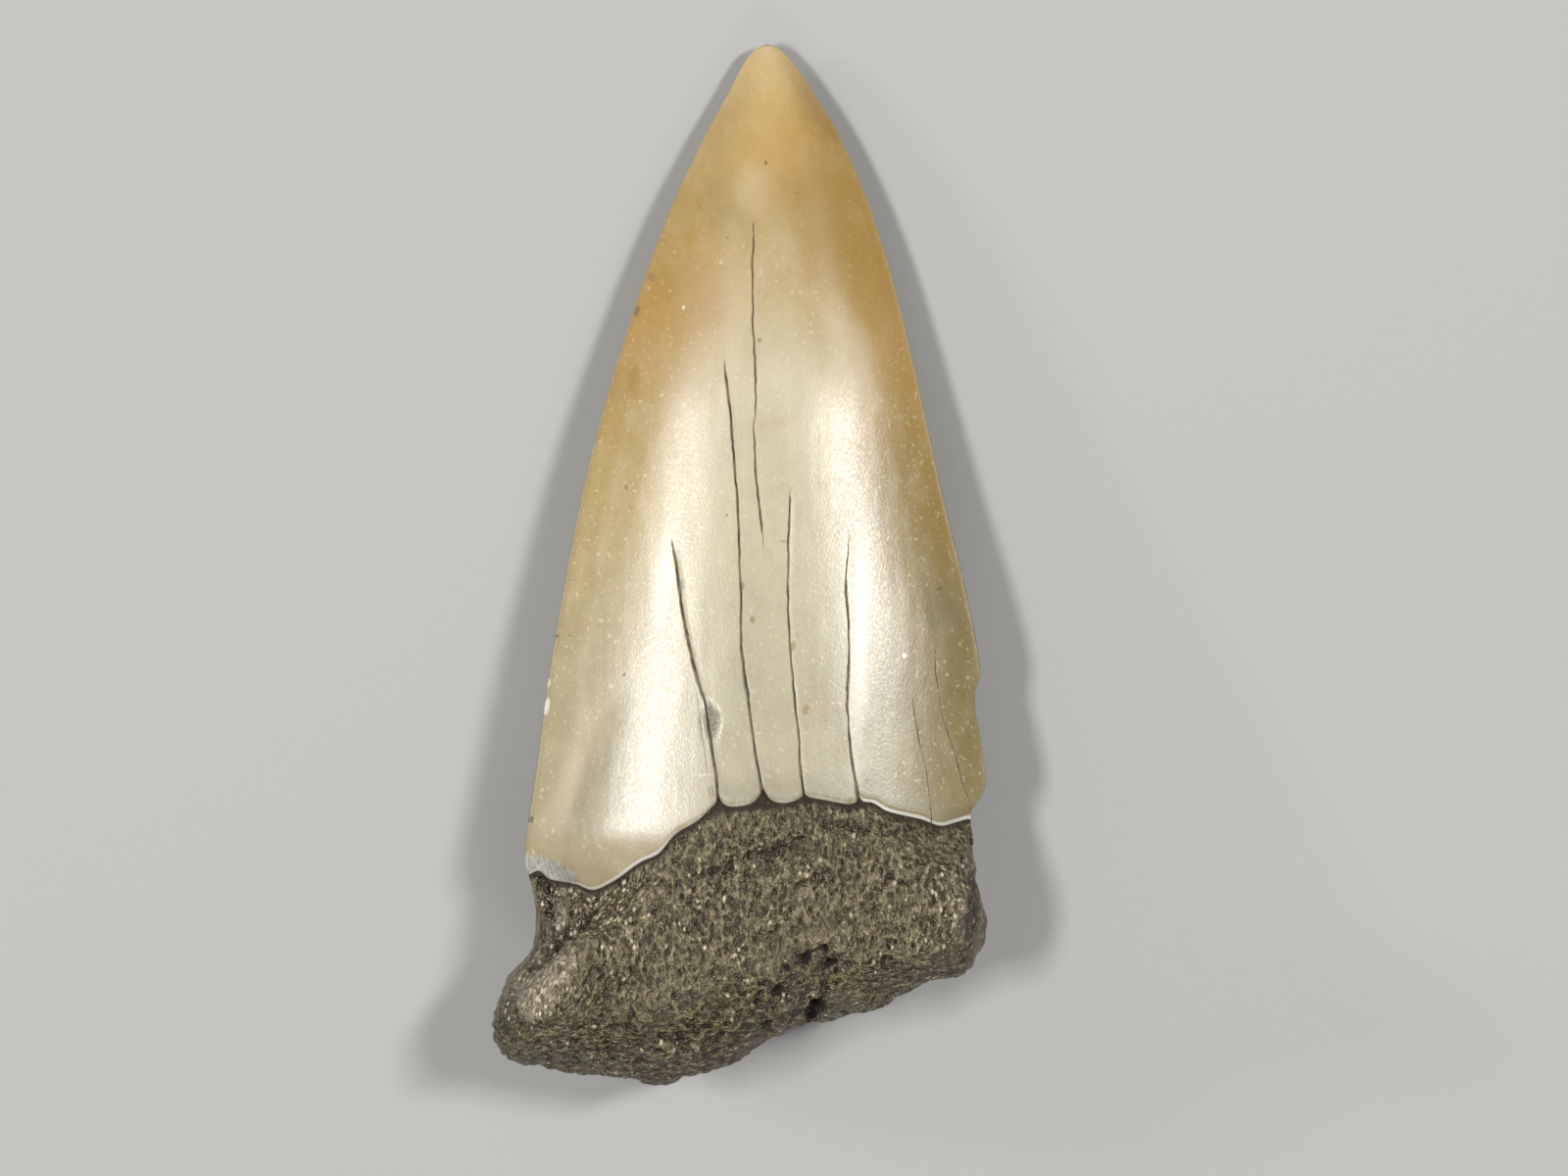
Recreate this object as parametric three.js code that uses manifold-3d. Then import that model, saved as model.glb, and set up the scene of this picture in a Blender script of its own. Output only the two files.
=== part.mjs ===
// Fossil mako shark tooth: one solid, in millimetres, +Z up.
// The tooth lies on its lingual (tongue) side, as a loose tooth does on a table:
// the labial (lip) face looks up, the tip points along +Y and the root along -Y.
// The origin is under the middle of the tooth, on the surface that it lies on.
//
// The shape is written in the plane of the tooth first: x runs across the crown,
// depth is measured from the tip down to the root, and z is the height of a face
// above (labial) or below (lingual) the cutting edges. At the end the tooth is
// tilted until crown and root touch the table together.

import * as THREE from 'three';
import { mergeVertices } from 'three/addons/utils/BufferGeometryUtils.js';
import Module from 'manifold-3d';

// Driving dimensions
const LEFT_EDGE_END = 38.6;        // depth where the enamel ends on the left cutting edge
const RIGHT_EDGE_END = 36.0;       // and on the right one
const LEFT_CORNER = 46.9;          // depth where the left side turns into the base of the root
const RIGHT_CORNER = 42.8;
const TIP_X = 0.6;                 // the tip leans this far to the right of the crown's middle

const LABIAL_BULGE = [0.28, 0.22];  // height over half the crown's width, at the tip and at the base
const LABIAL_POWER = [2.2, 2.3];    // roundness of the section, higher is flatter with steeper shoulders
const LINGUAL_BULGE = [0.50, 0.44];
const LINGUAL_POWER = 0.9;
const EDGE_POWER = 24;             // rounding beside the cutting edges
const TIP_RECURVE = 0.6;           // the tip bends towards the labial side
const RECURVE_LENGTH = 26;

const ROOT_EDGE_DROP = 1.9;        // the root's outline lies below the plane of the cutting edges
const ROOT_LABIAL_HEIGHT = 2.15;   // above the plane of the cutting edges
const ROOT_LABIAL_ROUND = 3.2;     // width of the rounded border, narrower at the steep sides
const ROOT_RIGHT_ROUND = 1.7;
const ROOT_LEFT_ROUND = 2.3;
const RIGHT_SIDE = [4, 9];         // this far to the right the border narrows
const LEFT_SIDE = [7.5, 9];        // and this far to the left,
const LOBE_START = [44.5, 46];     // down to the depth where the left lobe starts
const BORDER_POWER = 2.2;          // roundness of the root's borders
const ROOT_LINGUAL_DEPTH = 5.1;    // at the lobes
const ROOT_LINGUAL_ROUND = 3.6;
const SWELL_DEPTH = 2.1;           // the lingual swelling stands this much further out
const SWELL_CENTRE = [-0.4, 39.6];
const SWELL_SIZE = [7.4, 4.4];
const SWELL_POWER = 3;             // flat on top, steeper at its border

const LEDGE_LABIAL = 0.30;         // the enamel stands this much above the root
const LEDGE_LINGUAL = 0.18;
const LEDGE_WIDTH = 0.06;
const LEDGE_RECOVERY = 1.6;        // length over which the root rises to its own height
const RIM_ROUNDING = 0.07;
const ROOT_BLEND = 2.2;            // length over which the crown's section turns into the root's

const CRACK_HALF_WIDTH = 0.13;
const CRACK_DEPTH = 0.22;
const CRACK_FADE = 1.6;

const LUMP_HEIGHT = 0.075;
const LUMP_WAVES = 21;
const LUMP_SHORTEST = 1.9;         // wavelengths of the root's lumps
const LUMP_LONGEST = 4.4;
const LUMP_FADE = [0.2, 1.6];      // the lumps grow to full height this far below the enamel

const CROWN_WEAR = 0.08;           // what is worn flat where the crown rests
const ROOT_WEAR = 0.34;            // and where the root's swelling rests
const CROWN_REST_END = 30;         // the crown touches the table above this depth
const WIDEST_DEPTH = 37;           // the crown's section is no wider below this depth

const CROWN_ROWS = 27;
const ROOT_ROWS = 19;
const BORDER_SEGMENTS = 96;        // outline pieces used to measure distances
const TIP_CROWDING = 1.7;          // rows of the crown crowd towards the tip
const ENAMEL_CROWDING = 1.3;       // and towards the lower border of the enamel
const BASE_CROWDING = 0.65;        // rows of the root crowd towards its base
const MERGE_DISTANCE = 1e-4;

const ENAMEL_COLOUR = 0xd6c9a8;
const ROOT_TINT = new THREE.Color(0.30, 0.29, 0.28);

// The left and right border from the tip to the root's corners, as [x, depth].
// The small steps are chips in the cutting edges.
const LEFT_BORDER = [
  [0.6, 0], [0.1, 0.18], [-0.4, 0.73], [-1.15, 2.1], [-2.6, 4.8], [-3.9, 7.55], [-4.95, 10.3],
  [-5.85, 13.0], [-7.1, 17.1], [-8.1, 21.2], [-8.9, 25.3], [-9.6, 29.4], [-10.15, 33.5],
  [-10.55, 36.2], [-10.7, 37.3], [-10.7, 38.0], [-10.55, LEFT_EDGE_END],
  [-10.35, 39.3], [-10.3, 40.7], [-10.45, 42.0], [-11.45, 43.4], [-11.95, 44.4], [-12.18, 45.3],
  [-12.15, 45.9], [-12.0, 46.45], [-11.77, LEFT_CORNER],
];
const RIGHT_BORDER = [
  [0.6, 0], [1.1, 0.18], [1.65, 0.73], [2.65, 2.1], [4.2, 4.8], [5.35, 7.55], [6.25, 10.3],
  [6.95, 13.0], [7.9, 17.1], [8.8, 21.2], [9.8, 25.3], [10.35, 28.0], [10.5, 29.2],
  [10.25, 30.2], [10.25, 30.8], [10.45, 31.9], [10.7, 33.7], [10.75, 34.2], [10.6, 34.9],
  [10.0, 35.7], [9.8, RIGHT_EDGE_END],
  [10.0, 36.6], [10.3, 37.9], [10.53, 39.3], [10.72, 40.8], [10.6, 41.75], [10.2, RIGHT_CORNER],
];

// The faces of the crown bulge between the left border and this right one, so
// that the chips in the cutting edge leave no ripples.
const SMOOTH_RIGHT_BORDER = [
  ...RIGHT_BORDER.slice(0, 11),
  [10.35, 28.0], [10.6, 30.5], [10.75, 33.7], [10.8, RIGHT_EDGE_END], [10.8, LEFT_CORNER],
];

// The basal border of the root, from the left lobe to the right one.
const BASE_BORDER = [
  [-11.77, LEFT_CORNER], [-11.5, 47.2], [-11.05, 47.48], [-10.4, 47.62], [-9.4, 47.65],
  [-8.1, 47.8], [-5.9, 48.15], [-4.8, 48.3], [-2.6, 48.05], [-1.4, 47.55], [0.45, 46.5],
  [2.0, 45.7], [3.9, 45.35], [5.1, 45.0], [6.2, 44.55], [7.7, 43.8], [8.4, 43.5],
  [9.4, 43.38], [9.9, 43.1], [10.2, RIGHT_CORNER],
];

// The lower border of the enamel. On the labial side it is scalloped: a rounded
// tab hangs between each two cracks, and each crack ends in a small notch.
const LABIAL_ENAMEL_BORDER = [
  [-10.55, LEFT_EDGE_END], [-10.1, 38.4], [-9.55, 38.8], [-8.4, 39.0], [-7.55, 39.3],
  [-6.6, 38.9], [-5.25, 37.95], [-4.5, 37.6], [-3.65, 36.65], [-2.65, 36.05], [-1.9, 35.5],
  [-0.8, 35.4], [1.35, 35.25], [2.5, 35.0], [4.65, 35.3], [5.35, 35.2], [6.15, 35.6],
  [7.75, 36.0], [8.7, 36.3], [9.3, 36.15], [9.8, RIGHT_EDGE_END],
];
const NOTCHES = [
  { x: -1.65, height: 0.55, width: 0.2 },
  { x: 0.4, height: 0.8, width: 0.3 },
  { x: 2.3, height: 0.25, width: 0.15 },
  { x: 4.85, height: 0.35, width: 0.15 },
];
const LINGUAL_ENAMEL_BORDER = [
  [-10.55, LEFT_EDGE_END], [-8.4, 37.6], [-5.0, 34.9], [-2.2, 33.1], [-0.2, 32.6],
  [1.9, 33.0], [4.6, 34.2], [7.6, 35.6], [9.8, RIGHT_EDGE_END],
];

// Shrinkage cracks in the enamel, from top to bottom. The open part of a crack
// ends at openTo, and the rest of its line only carries the columns of the mesh.
const LABIAL_CRACKS = [
  { line: [[-3.8, 22.9], [-3.65, 24.8], [-2.65, 29.4], [-2.05, 31.6], [-1.9, 33.5], [-1.65, 34.9]] },
  { line: [[-1.3, 15.05], [-0.9, 19.8], [-0.65, 25.3], [-0.3, 29.8], [0, 32.55], [0.4, 34.55]] },
  { line: [[-0.05, 8.2], [0.1, 13.45], [-0.1, 18.45], [0.35, 23.0], [1.25, 35.05]], openTo: 23.0 },
  { line: [[1.75, 20.5], [1.55, 27.1], [2.05, 32.55], [2.3, 34.8]] },
  { line: [[4.45, 22.55], [4.3, 25.3], [4.3, 28.9], [4.45, 32.55], [4.85, 34.9]] },
];
const LINGUAL_CRACKS = [
  { line: [[-4.1, 24.5], [-3.9, 29.0], [-3.5, 34.1]] },
  { line: [[0.5, 15.5], [0.2, 24.0], [0.6, 32.65]] },
  { line: [[4.3, 21.0], [4.5, 27.0], [4.2, 34.0]] },
];
const LABIAL_COLUMNS = [13, 5, 3, 3, 5, 13];    // between the left border, the cracks and the right border
const LINGUAL_COLUMNS = [6, 5, 4, 5];

// Low relief on the labial side: a line from one [x, depth] to another, how wide
// it is and how far it rises, less than nothing for a groove.
const CROWN_RELIEF = [
  { from: [-7.4, 31.2], to: [-9.2, 37.4], width: 0.9, rise: -0.06 },
];
const ROOT_RELIEF = [
  { from: [-10.6, 46.0], to: [-7.6, 42.2], width: 1.7, rise: 0.95 },
  { from: [7.6, 39.8], to: [8.2, 41.6], width: 1.6, rise: 0.45 },
  { from: [-7.8, 40.6], to: [-11.3, 43.4], width: 0.55, rise: -0.45 },
  { from: [-9.9, 39.2], to: [-9.9, 41.8], width: 0.4, rise: -0.5 },
  { from: [-8.4, 39.6], to: [-8.5, 41.0], width: 0.35, rise: -0.3 },
  { from: [9.1, 36.9], to: [9.9, 39.0], width: 0.6, rise: -0.55 },
  { from: [-1.6, 38.5], to: [2.3, 37.4], width: 0.5, rise: -0.22 },
  { from: [2.6, 45.0], to: [3.4, 42.9], width: 0.8, rise: -0.5 },
];

// Open pores in the labial face of the root: [x, depth], then half width,
// half length and half depth.
const PORES = [
  { at: [2.75, 44.8], size: [0.34, 0.42, 0.55] },
  { at: [1.1, 43.9], size: [0.22, 0.28, 0.4] },
  { at: [2.4, 42.35], size: [0.2, 0.26, 0.4] },
  { at: [3.6, 42.8], size: [0.3, 0.18, 0.35] },
  { at: [0.6, 45.4], size: [0.24, 0.17, 0.35] },
];
const FORAMEN = { at: [-0.3, 43.4], size: [0.5, 0.7, 0.9] };    // on the lingual side

const lerp = THREE.MathUtils.lerp;
const clamp = THREE.MathUtils.clamp;

function ease(from, to, value) {
  return THREE.MathUtils.smoothstep(value, from, to);
}

// A smooth curve through points of rising position, without overshoot
function curveThrough(positions, values) {
  const last = positions.length - 1;
  const slopes = [];
  for (let i = 0; i < last; i++) {
    slopes.push((values[i + 1] - values[i]) / (positions[i + 1] - positions[i]));
  }
  const tangents = [slopes[0]];
  for (let i = 1; i < last; i++) {
    const product = slopes[i - 1] * slopes[i];
    tangents.push(product > 0 ? 2 * product / (slopes[i - 1] + slopes[i]) : 0);
  }
  tangents.push(slopes[last - 1]);
  return (position) => {
    let i = 0;
    while (i < last - 1 && position > positions[i + 1]) i++;
    const span = positions[i + 1] - positions[i];
    const t = clamp((position - positions[i]) / span, 0, 1);
    const rest = 1 - t;
    return values[i] * (1 + 2 * t) * rest * rest + values[i + 1] * (3 - 2 * t) * t * t
      + span * t * rest * (tangents[i] * rest - tangents[i + 1] * t);
  };
}

// The side borders are curves over the root of the depth, which rounds the tip
function sideBorder(points) {
  const curve = curveThrough(points.map(([, depth]) => Math.sqrt(depth)), points.map(([x]) => x));
  return (depth) => curve(Math.sqrt(Math.max(depth, 0)));
}

function depthOver(points) {
  return curveThrough(points.map(([x]) => x), points.map(([, depth]) => depth));
}

// How far the notches at the feet of the cracks cut into the enamel at x
function notchHeight(x) {
  const cut = (notch) => notch.height * Math.exp(-Math.abs(x - notch.x) / notch.width);
  return NOTCHES.reduce((sum, notch) => sum + cut(notch), 0);
}

const leftX = sideBorder(LEFT_BORDER);
const rightX = sideBorder(RIGHT_BORDER);
const smoothRightX = sideBorder(SMOOTH_RIGHT_BORDER);
const baseDepth = depthOver(BASE_BORDER);
const crownWidth = (depth) => rightX(depth) - leftX(depth);
const smoothWidth = (depth) => smoothRightX(depth) - leftX(depth);
const halfWidth = (depth) => smoothWidth(Math.min(depth, WIDEST_DEPTH)) / 2;
const shareAcross = (x, depth) => (x - leftX(depth)) / crownWidth(depth);

// The whole outline as short straight pieces
function outlinePieces() {
  const corners = [];
  for (let i = 0; i <= BORDER_SEGMENTS; i++) {
    const depth = LEFT_CORNER * (1 - i / BORDER_SEGMENTS) ** 2;
    corners.push([leftX(depth), depth]);
  }
  for (let i = 1; i <= BORDER_SEGMENTS; i++) {
    const depth = RIGHT_CORNER * (i / BORDER_SEGMENTS) ** 2;
    corners.push([rightX(depth), depth]);
  }
  const left = BASE_BORDER[0][0];
  const right = BASE_BORDER.at(-1)[0];
  for (let i = 1; i < BORDER_SEGMENTS; i++) {
    const x = lerp(right, left, i / BORDER_SEGMENTS);
    corners.push([x, baseDepth(x)]);
  }
  return corners.map((corner, i) => [corner, corners[(i + 1) % corners.length]]);
}
const OUTLINE = outlinePieces();

// Distance to the outline, exact beside it and without creases further in.
// Each piece adds the integral of 1 / distance cubed along its length.
function distanceToOutline(x, depth) {
  const tiny = 1e-6;
  let sum = 0;
  for (const [[ax, ay], [bx, by]] of OUTLINE) {
    const length = Math.hypot(bx - ax, by - ay);
    const dx = (bx - ax) / length;
    const dy = (by - ay) / length;
    const before = (ax - x) * dx + (ay - depth) * dy;
    const after = before + length;
    const offset = (ax - x) * dy - (ay - depth) * dx;
    const square = offset * offset + tiny;
    const far = after / Math.sqrt(square + after * after);
    const near = before / Math.sqrt(square + before * before);
    sum += (far - near) / square;
  }
  return Math.sqrt(2 / Math.max(sum, tiny));
}

// Height of all low relief at a place: a soft ridge or groove along each line
function relief(lines, x, depth) {
  let height = 0;
  for (const { from, to, width, rise } of lines) {
    const along = [to[0] - from[0], to[1] - from[1]];
    const square = along[0] ** 2 + along[1] ** 2;
    const t = clamp(((x - from[0]) * along[0] + (depth - from[1]) * along[1]) / square, 0, 1);
    const away = Math.hypot(x - from[0] - t * along[0], depth - from[1] - t * along[1]);
    height += rise * Math.exp(-((away / width) ** 2));
  }
  return height;
}

// The line where the labial and lingual faces meet: the cutting edges of the
// crown, and below them the middle of the root's thick border
function borderHeight(depth) {
  const recurve = TIP_RECURVE * Math.max(0, 1 - depth / RECURVE_LENGTH) ** 2;
  return recurve - ROOT_EDGE_DROP * ease(RIGHT_EDGE_END, LEFT_CORNER - 3, depth);
}

function roundedBorder(distance, width) {
  const inward = 1 - clamp(distance / width, 0, 1);
  return Math.sqrt(1 - inward ** BORDER_POWER);
}

// Height of a face of the crown above the border line: its section bulges between
// the smooth borders and is rounded off beside the cutting edges
function crownSection(x, depth, bulge, arch) {
  const down = clamp(depth / RIGHT_EDGE_END, 0, 1);
  const across = Math.min(1, Math.abs(2 * (x - leftX(depth)) / smoothWidth(depth) - 1));
  const edge = 1 - Math.min(1, Math.abs(2 * shareAcross(x, depth) - 1)) ** EDGE_POWER;
  return lerp(...bulge, down) * halfWidth(depth) * arch(across, down) * edge;
}

function labialCrown(x, depth) {
  const arch = (across, down) => 1 - across ** lerp(...LABIAL_POWER, down);
  const height = crownSection(x, depth, LABIAL_BULGE, arch);
  return height + relief(CROWN_RELIEF, x, depth) * Math.min(1, height);
}

function lingualCrown(x, depth) {
  const arch = (across) => (1 - across * across) ** LINGUAL_POWER;
  return crownSection(x, depth, LINGUAL_BULGE, arch);
}

// The same for the root, from the distance to the outline
function labialRoot(x, depth, distance) {
  const height = ROOT_LABIAL_HEIGHT - borderHeight(depth) + relief(ROOT_RELIEF, x, depth);
  const toRight = ease(...RIGHT_SIDE, x);
  const toLeft = ease(...LEFT_SIDE, -x) * (1 - ease(...LOBE_START, depth));
  const width = lerp(lerp(ROOT_LABIAL_ROUND, ROOT_RIGHT_ROUND, toRight), ROOT_LEFT_ROUND, toLeft);
  return height * roundedBorder(distance, width);
}

function lingualRoot(x, depth, distance) {
  const aside = (x - SWELL_CENTRE[0]) / SWELL_SIZE[0];
  const down = (depth - SWELL_CENTRE[1]) / SWELL_SIZE[1];
  const swell = SWELL_DEPTH * Math.exp(-(Math.hypot(aside, down) ** SWELL_POWER));
  const height = ROOT_LINGUAL_DEPTH + borderHeight(depth) + swell;
  return height * roundedBorder(distance, ROOT_LINGUAL_ROUND);
}

// Everything that differs between the two faces of the tooth
const labialBorder = depthOver(LABIAL_ENAMEL_BORDER);
const lingualBorder = depthOver(LINGUAL_ENAMEL_BORDER);
const LABIAL = {
  side: 1,
  rootStart: labialBorder,
  enamelDepth: (x) => labialBorder(x) - notchHeight(x),
  cracks: LABIAL_CRACKS.map(openCrack),
  columns: LABIAL_COLUMNS,
  ledge: LEDGE_LABIAL,
  crownHeight: labialCrown,
  rootHeight: labialRoot,
};
const LINGUAL = {
  side: -1,
  rootStart: lingualBorder,
  enamelDepth: lingualBorder,
  cracks: LINGUAL_CRACKS.map(openCrack),
  columns: LINGUAL_COLUMNS,
  ledge: LEDGE_LINGUAL,
  crownHeight: lingualCrown,
  rootHeight: lingualRoot,
};

function openCrack({ line, openTo }) {
  const top = line[0][1];
  const bottom = line.at(-1)[1];
  const lineX = curveThrough(line.map(([, depth]) => depth), line.map(([x]) => x));
  return { top, bottom, lineX, openTo: openTo ?? Infinity };
}

function crackDepthAt(crack, depth) {
  const opening = ease(crack.top, crack.top + CRACK_FADE, depth);
  const closing = 1 - ease(crack.openTo - CRACK_FADE, crack.openTo, depth);
  return CRACK_DEPTH * opening * (Number.isFinite(crack.openTo) ? closing : 1);
}

// Height of a face over the border line, from how far it lies below the enamel
function faceHeight(face, x, depth, below) {
  const crown = face.crownHeight(x, depth);
  if (below <= 0) return crown;
  const root = face.rootHeight(x, depth, distanceToOutline(x, depth));
  const step = face.ledge * (1 - ease(0, LEDGE_RECOVERY, below));
  const border = Math.min(1, crown);
  return lerp(crown, root, ease(0, ROOT_BLEND, below)) - step * border;
}

// Shares across the crown that carry the mesh columns in one row: the borders,
// the cracks with both their lips, and even steps between them
function columnShares(face, depths, crowding) {
  const anchors = [0];
  face.cracks.forEach((crack, i) => {
    const depth = clamp(depths(i), crack.top, crack.bottom);
    const centre = shareAcross(crack.lineX(depth), depth);
    const half = CRACK_HALF_WIDTH / crownWidth(depth);
    anchors.push(centre - half, centre, centre + half);
  });
  anchors.push(1);
  const shares = [];
  for (let i = 0; i < anchors.length - 1; i++) {
    const steps = i % 3 === 0 ? face.columns[i / 3] : 1;
    for (let k = 0; k < steps; k++) {
      let t = k / steps;
      if (i === 0) t = lerp(t ** 1.2, 1 - Math.cos(t * Math.PI / 2), crowding);
      if (i === anchors.length - 2) t = lerp(1 - (1 - t) ** 1.2, Math.sin(t * Math.PI / 2), crowding);
      shares.push(lerp(anchors[i], anchors[i + 1], t));
    }
  }
  shares.push(1);
  return shares;
}

// Where each column meets the lower border of the enamel
function enamelEnds(face) {
  const shares = columnShares(face, (i) => face.cracks[i].bottom, 0);
  return shares.map((share) => {
    let depth = RIGHT_EDGE_END;
    for (let pass = 0; pass < 8; pass++) {
      depth = face.enamelDepth(lerp(leftX(depth), rightX(depth), share));
    }
    return { share, depth, x: lerp(leftX(depth), rightX(depth), share) };
  });
}

// Rows of points over one face, each with how much it belongs to the root
function faceRows(face) {
  const ends = enamelEnds(face);
  const last = ends.length - 1;
  const rows = [];
  const place = (x, depth, below, onBorder) => {
    const height = onBorder ? 0 : faceHeight(face, x, depth, below);
    return { x, depth, z: borderHeight(depth) + face.side * height, rootness: ease(...LUMP_FADE, below) };
  };

  for (let k = 1; k <= CROWN_ROWS; k++) {
    const down = crownRow(k / CROWN_ROWS);
    const shares = columnShares(face, () => down * RIGHT_EDGE_END, 0);
    const row = shares.map((share, j) => {
      const depth = down * ends[j].depth;
      const point = place(lerp(leftX(depth), rightX(depth), share), depth, 0, j === 0 || j === last);
      if (k === CROWN_ROWS && j > 0 && j < last) point.z -= face.side * RIM_ROUNDING;
      return point;
    });
    cutCracks(face, row);
    rows.push(row);
  }

  const left = { x: leftX(LEFT_CORNER), depth: LEFT_CORNER };
  const right = { x: rightX(RIGHT_CORNER), depth: RIGHT_CORNER };
  for (let k = 0; k <= ROOT_ROWS; k++) {
    const down = rootRow(k / ROOT_ROWS);
    const leftDepth = lerp(LEFT_EDGE_END + LEDGE_WIDTH, LEFT_CORNER, down);
    const rightDepth = lerp(RIGHT_EDGE_END + LEDGE_WIDTH, RIGHT_CORNER, down);
    rows.push(ends.map((end, j) => {
      const even = baseShare(j / last);
      const share = lerp(end.share, even, down);
      const baseX = lerp(left.x, right.x, even);
      const endDepth = end.depth + LEDGE_WIDTH;
      const leftPull = leftX(leftDepth) - lerp(ends[0].x, left.x, down);
      const rightPull = rightX(rightDepth) - lerp(ends[last].x, right.x, down);
      const x = lerp(end.x, baseX, down) + (1 - share) * leftPull + share * rightPull;
      const depth = lerp(endDepth, baseDepth(baseX), down);
      if (k === ROOT_ROWS) return place(x, depth, LEDGE_RECOVERY, true);
      if (j === 0 || j === last) return place(x, depth, depth - end.depth, true);
      return place(x, depth, Math.max(depth - face.rootStart(x), LEDGE_WIDTH), false);
    }));
  }
  return rows;
}

// Rows crowd towards the tip and the enamel border
function crownRow(t) {
  if (t < 0.5) return lerp((2 * t) ** TIP_CROWDING / 2, t, t);
  return lerp(t, 1 - (1 - t) ** ENAMEL_CROWDING, 2 * t - 1);
}

// Rows crowd towards the rounded base
function rootRow(t) {
  return Math.sin(lerp(t * t, t, BASE_CROWDING) * Math.PI / 2);
}

function baseShare(t) {
  return lerp(t, 0.5 - 0.5 * Math.cos(t * Math.PI), 0.6);
}

function cutCracks(face, row) {
  let column = 0;
  face.cracks.forEach((crack, i) => {
    column += face.columns[i] + (i === 0 ? 1 : 2);
    row[column].z -= face.side * crackDepthAt(crack, row[column].depth);
  });
}

// Triangles between two rows. The next row may have twice as many points.
function stitchRows(triangles, upper, lower, side) {
  const ratio = (lower.length - 1) / (upper.length - 1);
  const add = (a, b, c) => triangles.push(...(side > 0 ? [a, b, c] : [a, c, b]));
  for (let j = 0; j < upper.length - 1; j++) {
    const left = lower[j * ratio];
    const middle = lower[j * ratio + ratio - 1];
    const right = lower[(j + 1) * ratio];
    if (ratio === 2) add(upper[j], left, middle);
    add(upper[j], middle, upper[j + 1]);
    add(upper[j + 1], middle, right);
  }
}

// The closed surface of both faces, in the plane of the tooth
function toothSurface() {
  const tip = { x: TIP_X, depth: 0, z: borderHeight(0), rootness: 0 };
  const labial = faceRows(LABIAL);
  const lingual = faceRows(LINGUAL);
  lingual[lingual.length - 1] = labial.at(-1);
  const triangles = [];
  for (const [rows, side] of [[labial, 1], [lingual, -1]]) {
    const first = rows[0];
    for (let j = 0; j < first.length - 1; j++) {
      triangles.push(...(side > 0 ? [tip, first[j], first[j + 1]] : [tip, first[j + 1], first[j]]));
    }
    for (let k = 0; k < rows.length - 1; k++) stitchRows(triangles, rows[k], rows[k + 1], side);
  }
  const geometry = new THREE.BufferGeometry();
  const positions = triangles.flatMap((point) => [point.x, -point.depth, point.z]);
  const rootness = triangles.map((point) => point.rootness);
  geometry.setAttribute('position', new THREE.Float32BufferAttribute(positions, 3));
  geometry.setAttribute('rootness', new THREE.Float32BufferAttribute(rootness, 1));
  return mergeVertices(geometry, MERGE_DISTANCE);
}

// Rounded lumps: a sum of waves whose directions turn by the golden angle
function lumpHeight(point) {
  const golden = Math.PI * (3 - Math.sqrt(5));
  let sum = 0;
  for (let i = 0; i < LUMP_WAVES; i++) {
    const up = 2 * (i + 0.5) / LUMP_WAVES - 1;
    const flat = Math.sqrt(1 - up * up);
    const turn = golden * i;
    const along = point.x * flat * Math.cos(turn) + point.y * flat * Math.sin(turn) + point.z * up;
    const wavelength = lerp(LUMP_SHORTEST, LUMP_LONGEST, ((i * 8) % LUMP_WAVES) / LUMP_WAVES);
    sum += Math.sin(2 * Math.PI * along / wavelength + i * i);
  }
  return LUMP_HEIGHT * sum * Math.sqrt(2 / LUMP_WAVES);
}

function addLumps(geometry) {
  geometry.computeVertexNormals();
  const { position, normal, rootness } = geometry.attributes;
  const point = new THREE.Vector3();
  const outward = new THREE.Vector3();
  for (let i = 0; i < position.count; i++) {
    point.fromBufferAttribute(position, i);
    outward.fromBufferAttribute(normal, i);
    point.addScaledVector(outward, lumpHeight(point) * rootness.getX(i));
    position.setXYZ(i, point.x, point.y, point.z);
  }
  geometry.deleteAttribute('normal');
  geometry.deleteAttribute('rootness');
}

// The tilt at which crown and root touch the table together
function restingTilt(geometry) {
  const { position } = geometry.attributes;
  const lowest = (tilt, from, to) => {
    let low = Infinity;
    for (let i = 0; i < position.count; i++) {
      const depth = -position.getY(i);
      if (depth < from || depth > to) continue;
      low = Math.min(low, depth * Math.sin(tilt) + position.getZ(i) * Math.cos(tilt));
    }
    return low;
  };
  let level = 0;
  let steep = Math.PI / 6;
  for (let pass = 0; pass < 40; pass++) {
    const middle = (level + steep) / 2;
    const root = lowest(middle, RIGHT_EDGE_END, Infinity) + ROOT_WEAR;
    const crown = lowest(middle, 0, CROWN_REST_END) + CROWN_WEAR;
    if (root < crown) level = middle;
    else steep = middle;
  }
  return (level + steep) / 2;
}

// From the plane of the tooth to the place where it lies
function placement(geometry) {
  const turn = new THREE.Matrix4().makeRotationX(-restingTilt(geometry));
  const turned = geometry.clone().applyMatrix4(turn);
  turned.computeBoundingBox();
  const { min, max } = turned.boundingBox;
  const shift = new THREE.Matrix4().makeTranslation(
    -(min.x + max.x) / 2, -(min.y + max.y) / 2, -min.z - ROOT_WEAR);
  return shift.multiply(turn);
}

// What would sink into the table is worn flat
function wearSeat(geometry) {
  const { position } = geometry.attributes;
  for (let i = 0; i < position.count; i++) {
    if (position.getZ(i) < 0) position.setZ(i, 0);
  }
}

const wasm = await Module();
wasm.setup();

function solidFrom(geometry) {
  const bare = new THREE.BufferGeometry();
  bare.setAttribute('position', geometry.attributes.position.clone());
  bare.setIndex(geometry.index);
  const merged = mergeVertices(bare, MERGE_DISTANCE);
  return new wasm.Manifold(new wasm.Mesh({
    numProp: 3,
    vertProperties: new Float32Array(merged.attributes.position.array),
    triVerts: new Uint32Array(merged.index.array),
  }));
}

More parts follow.
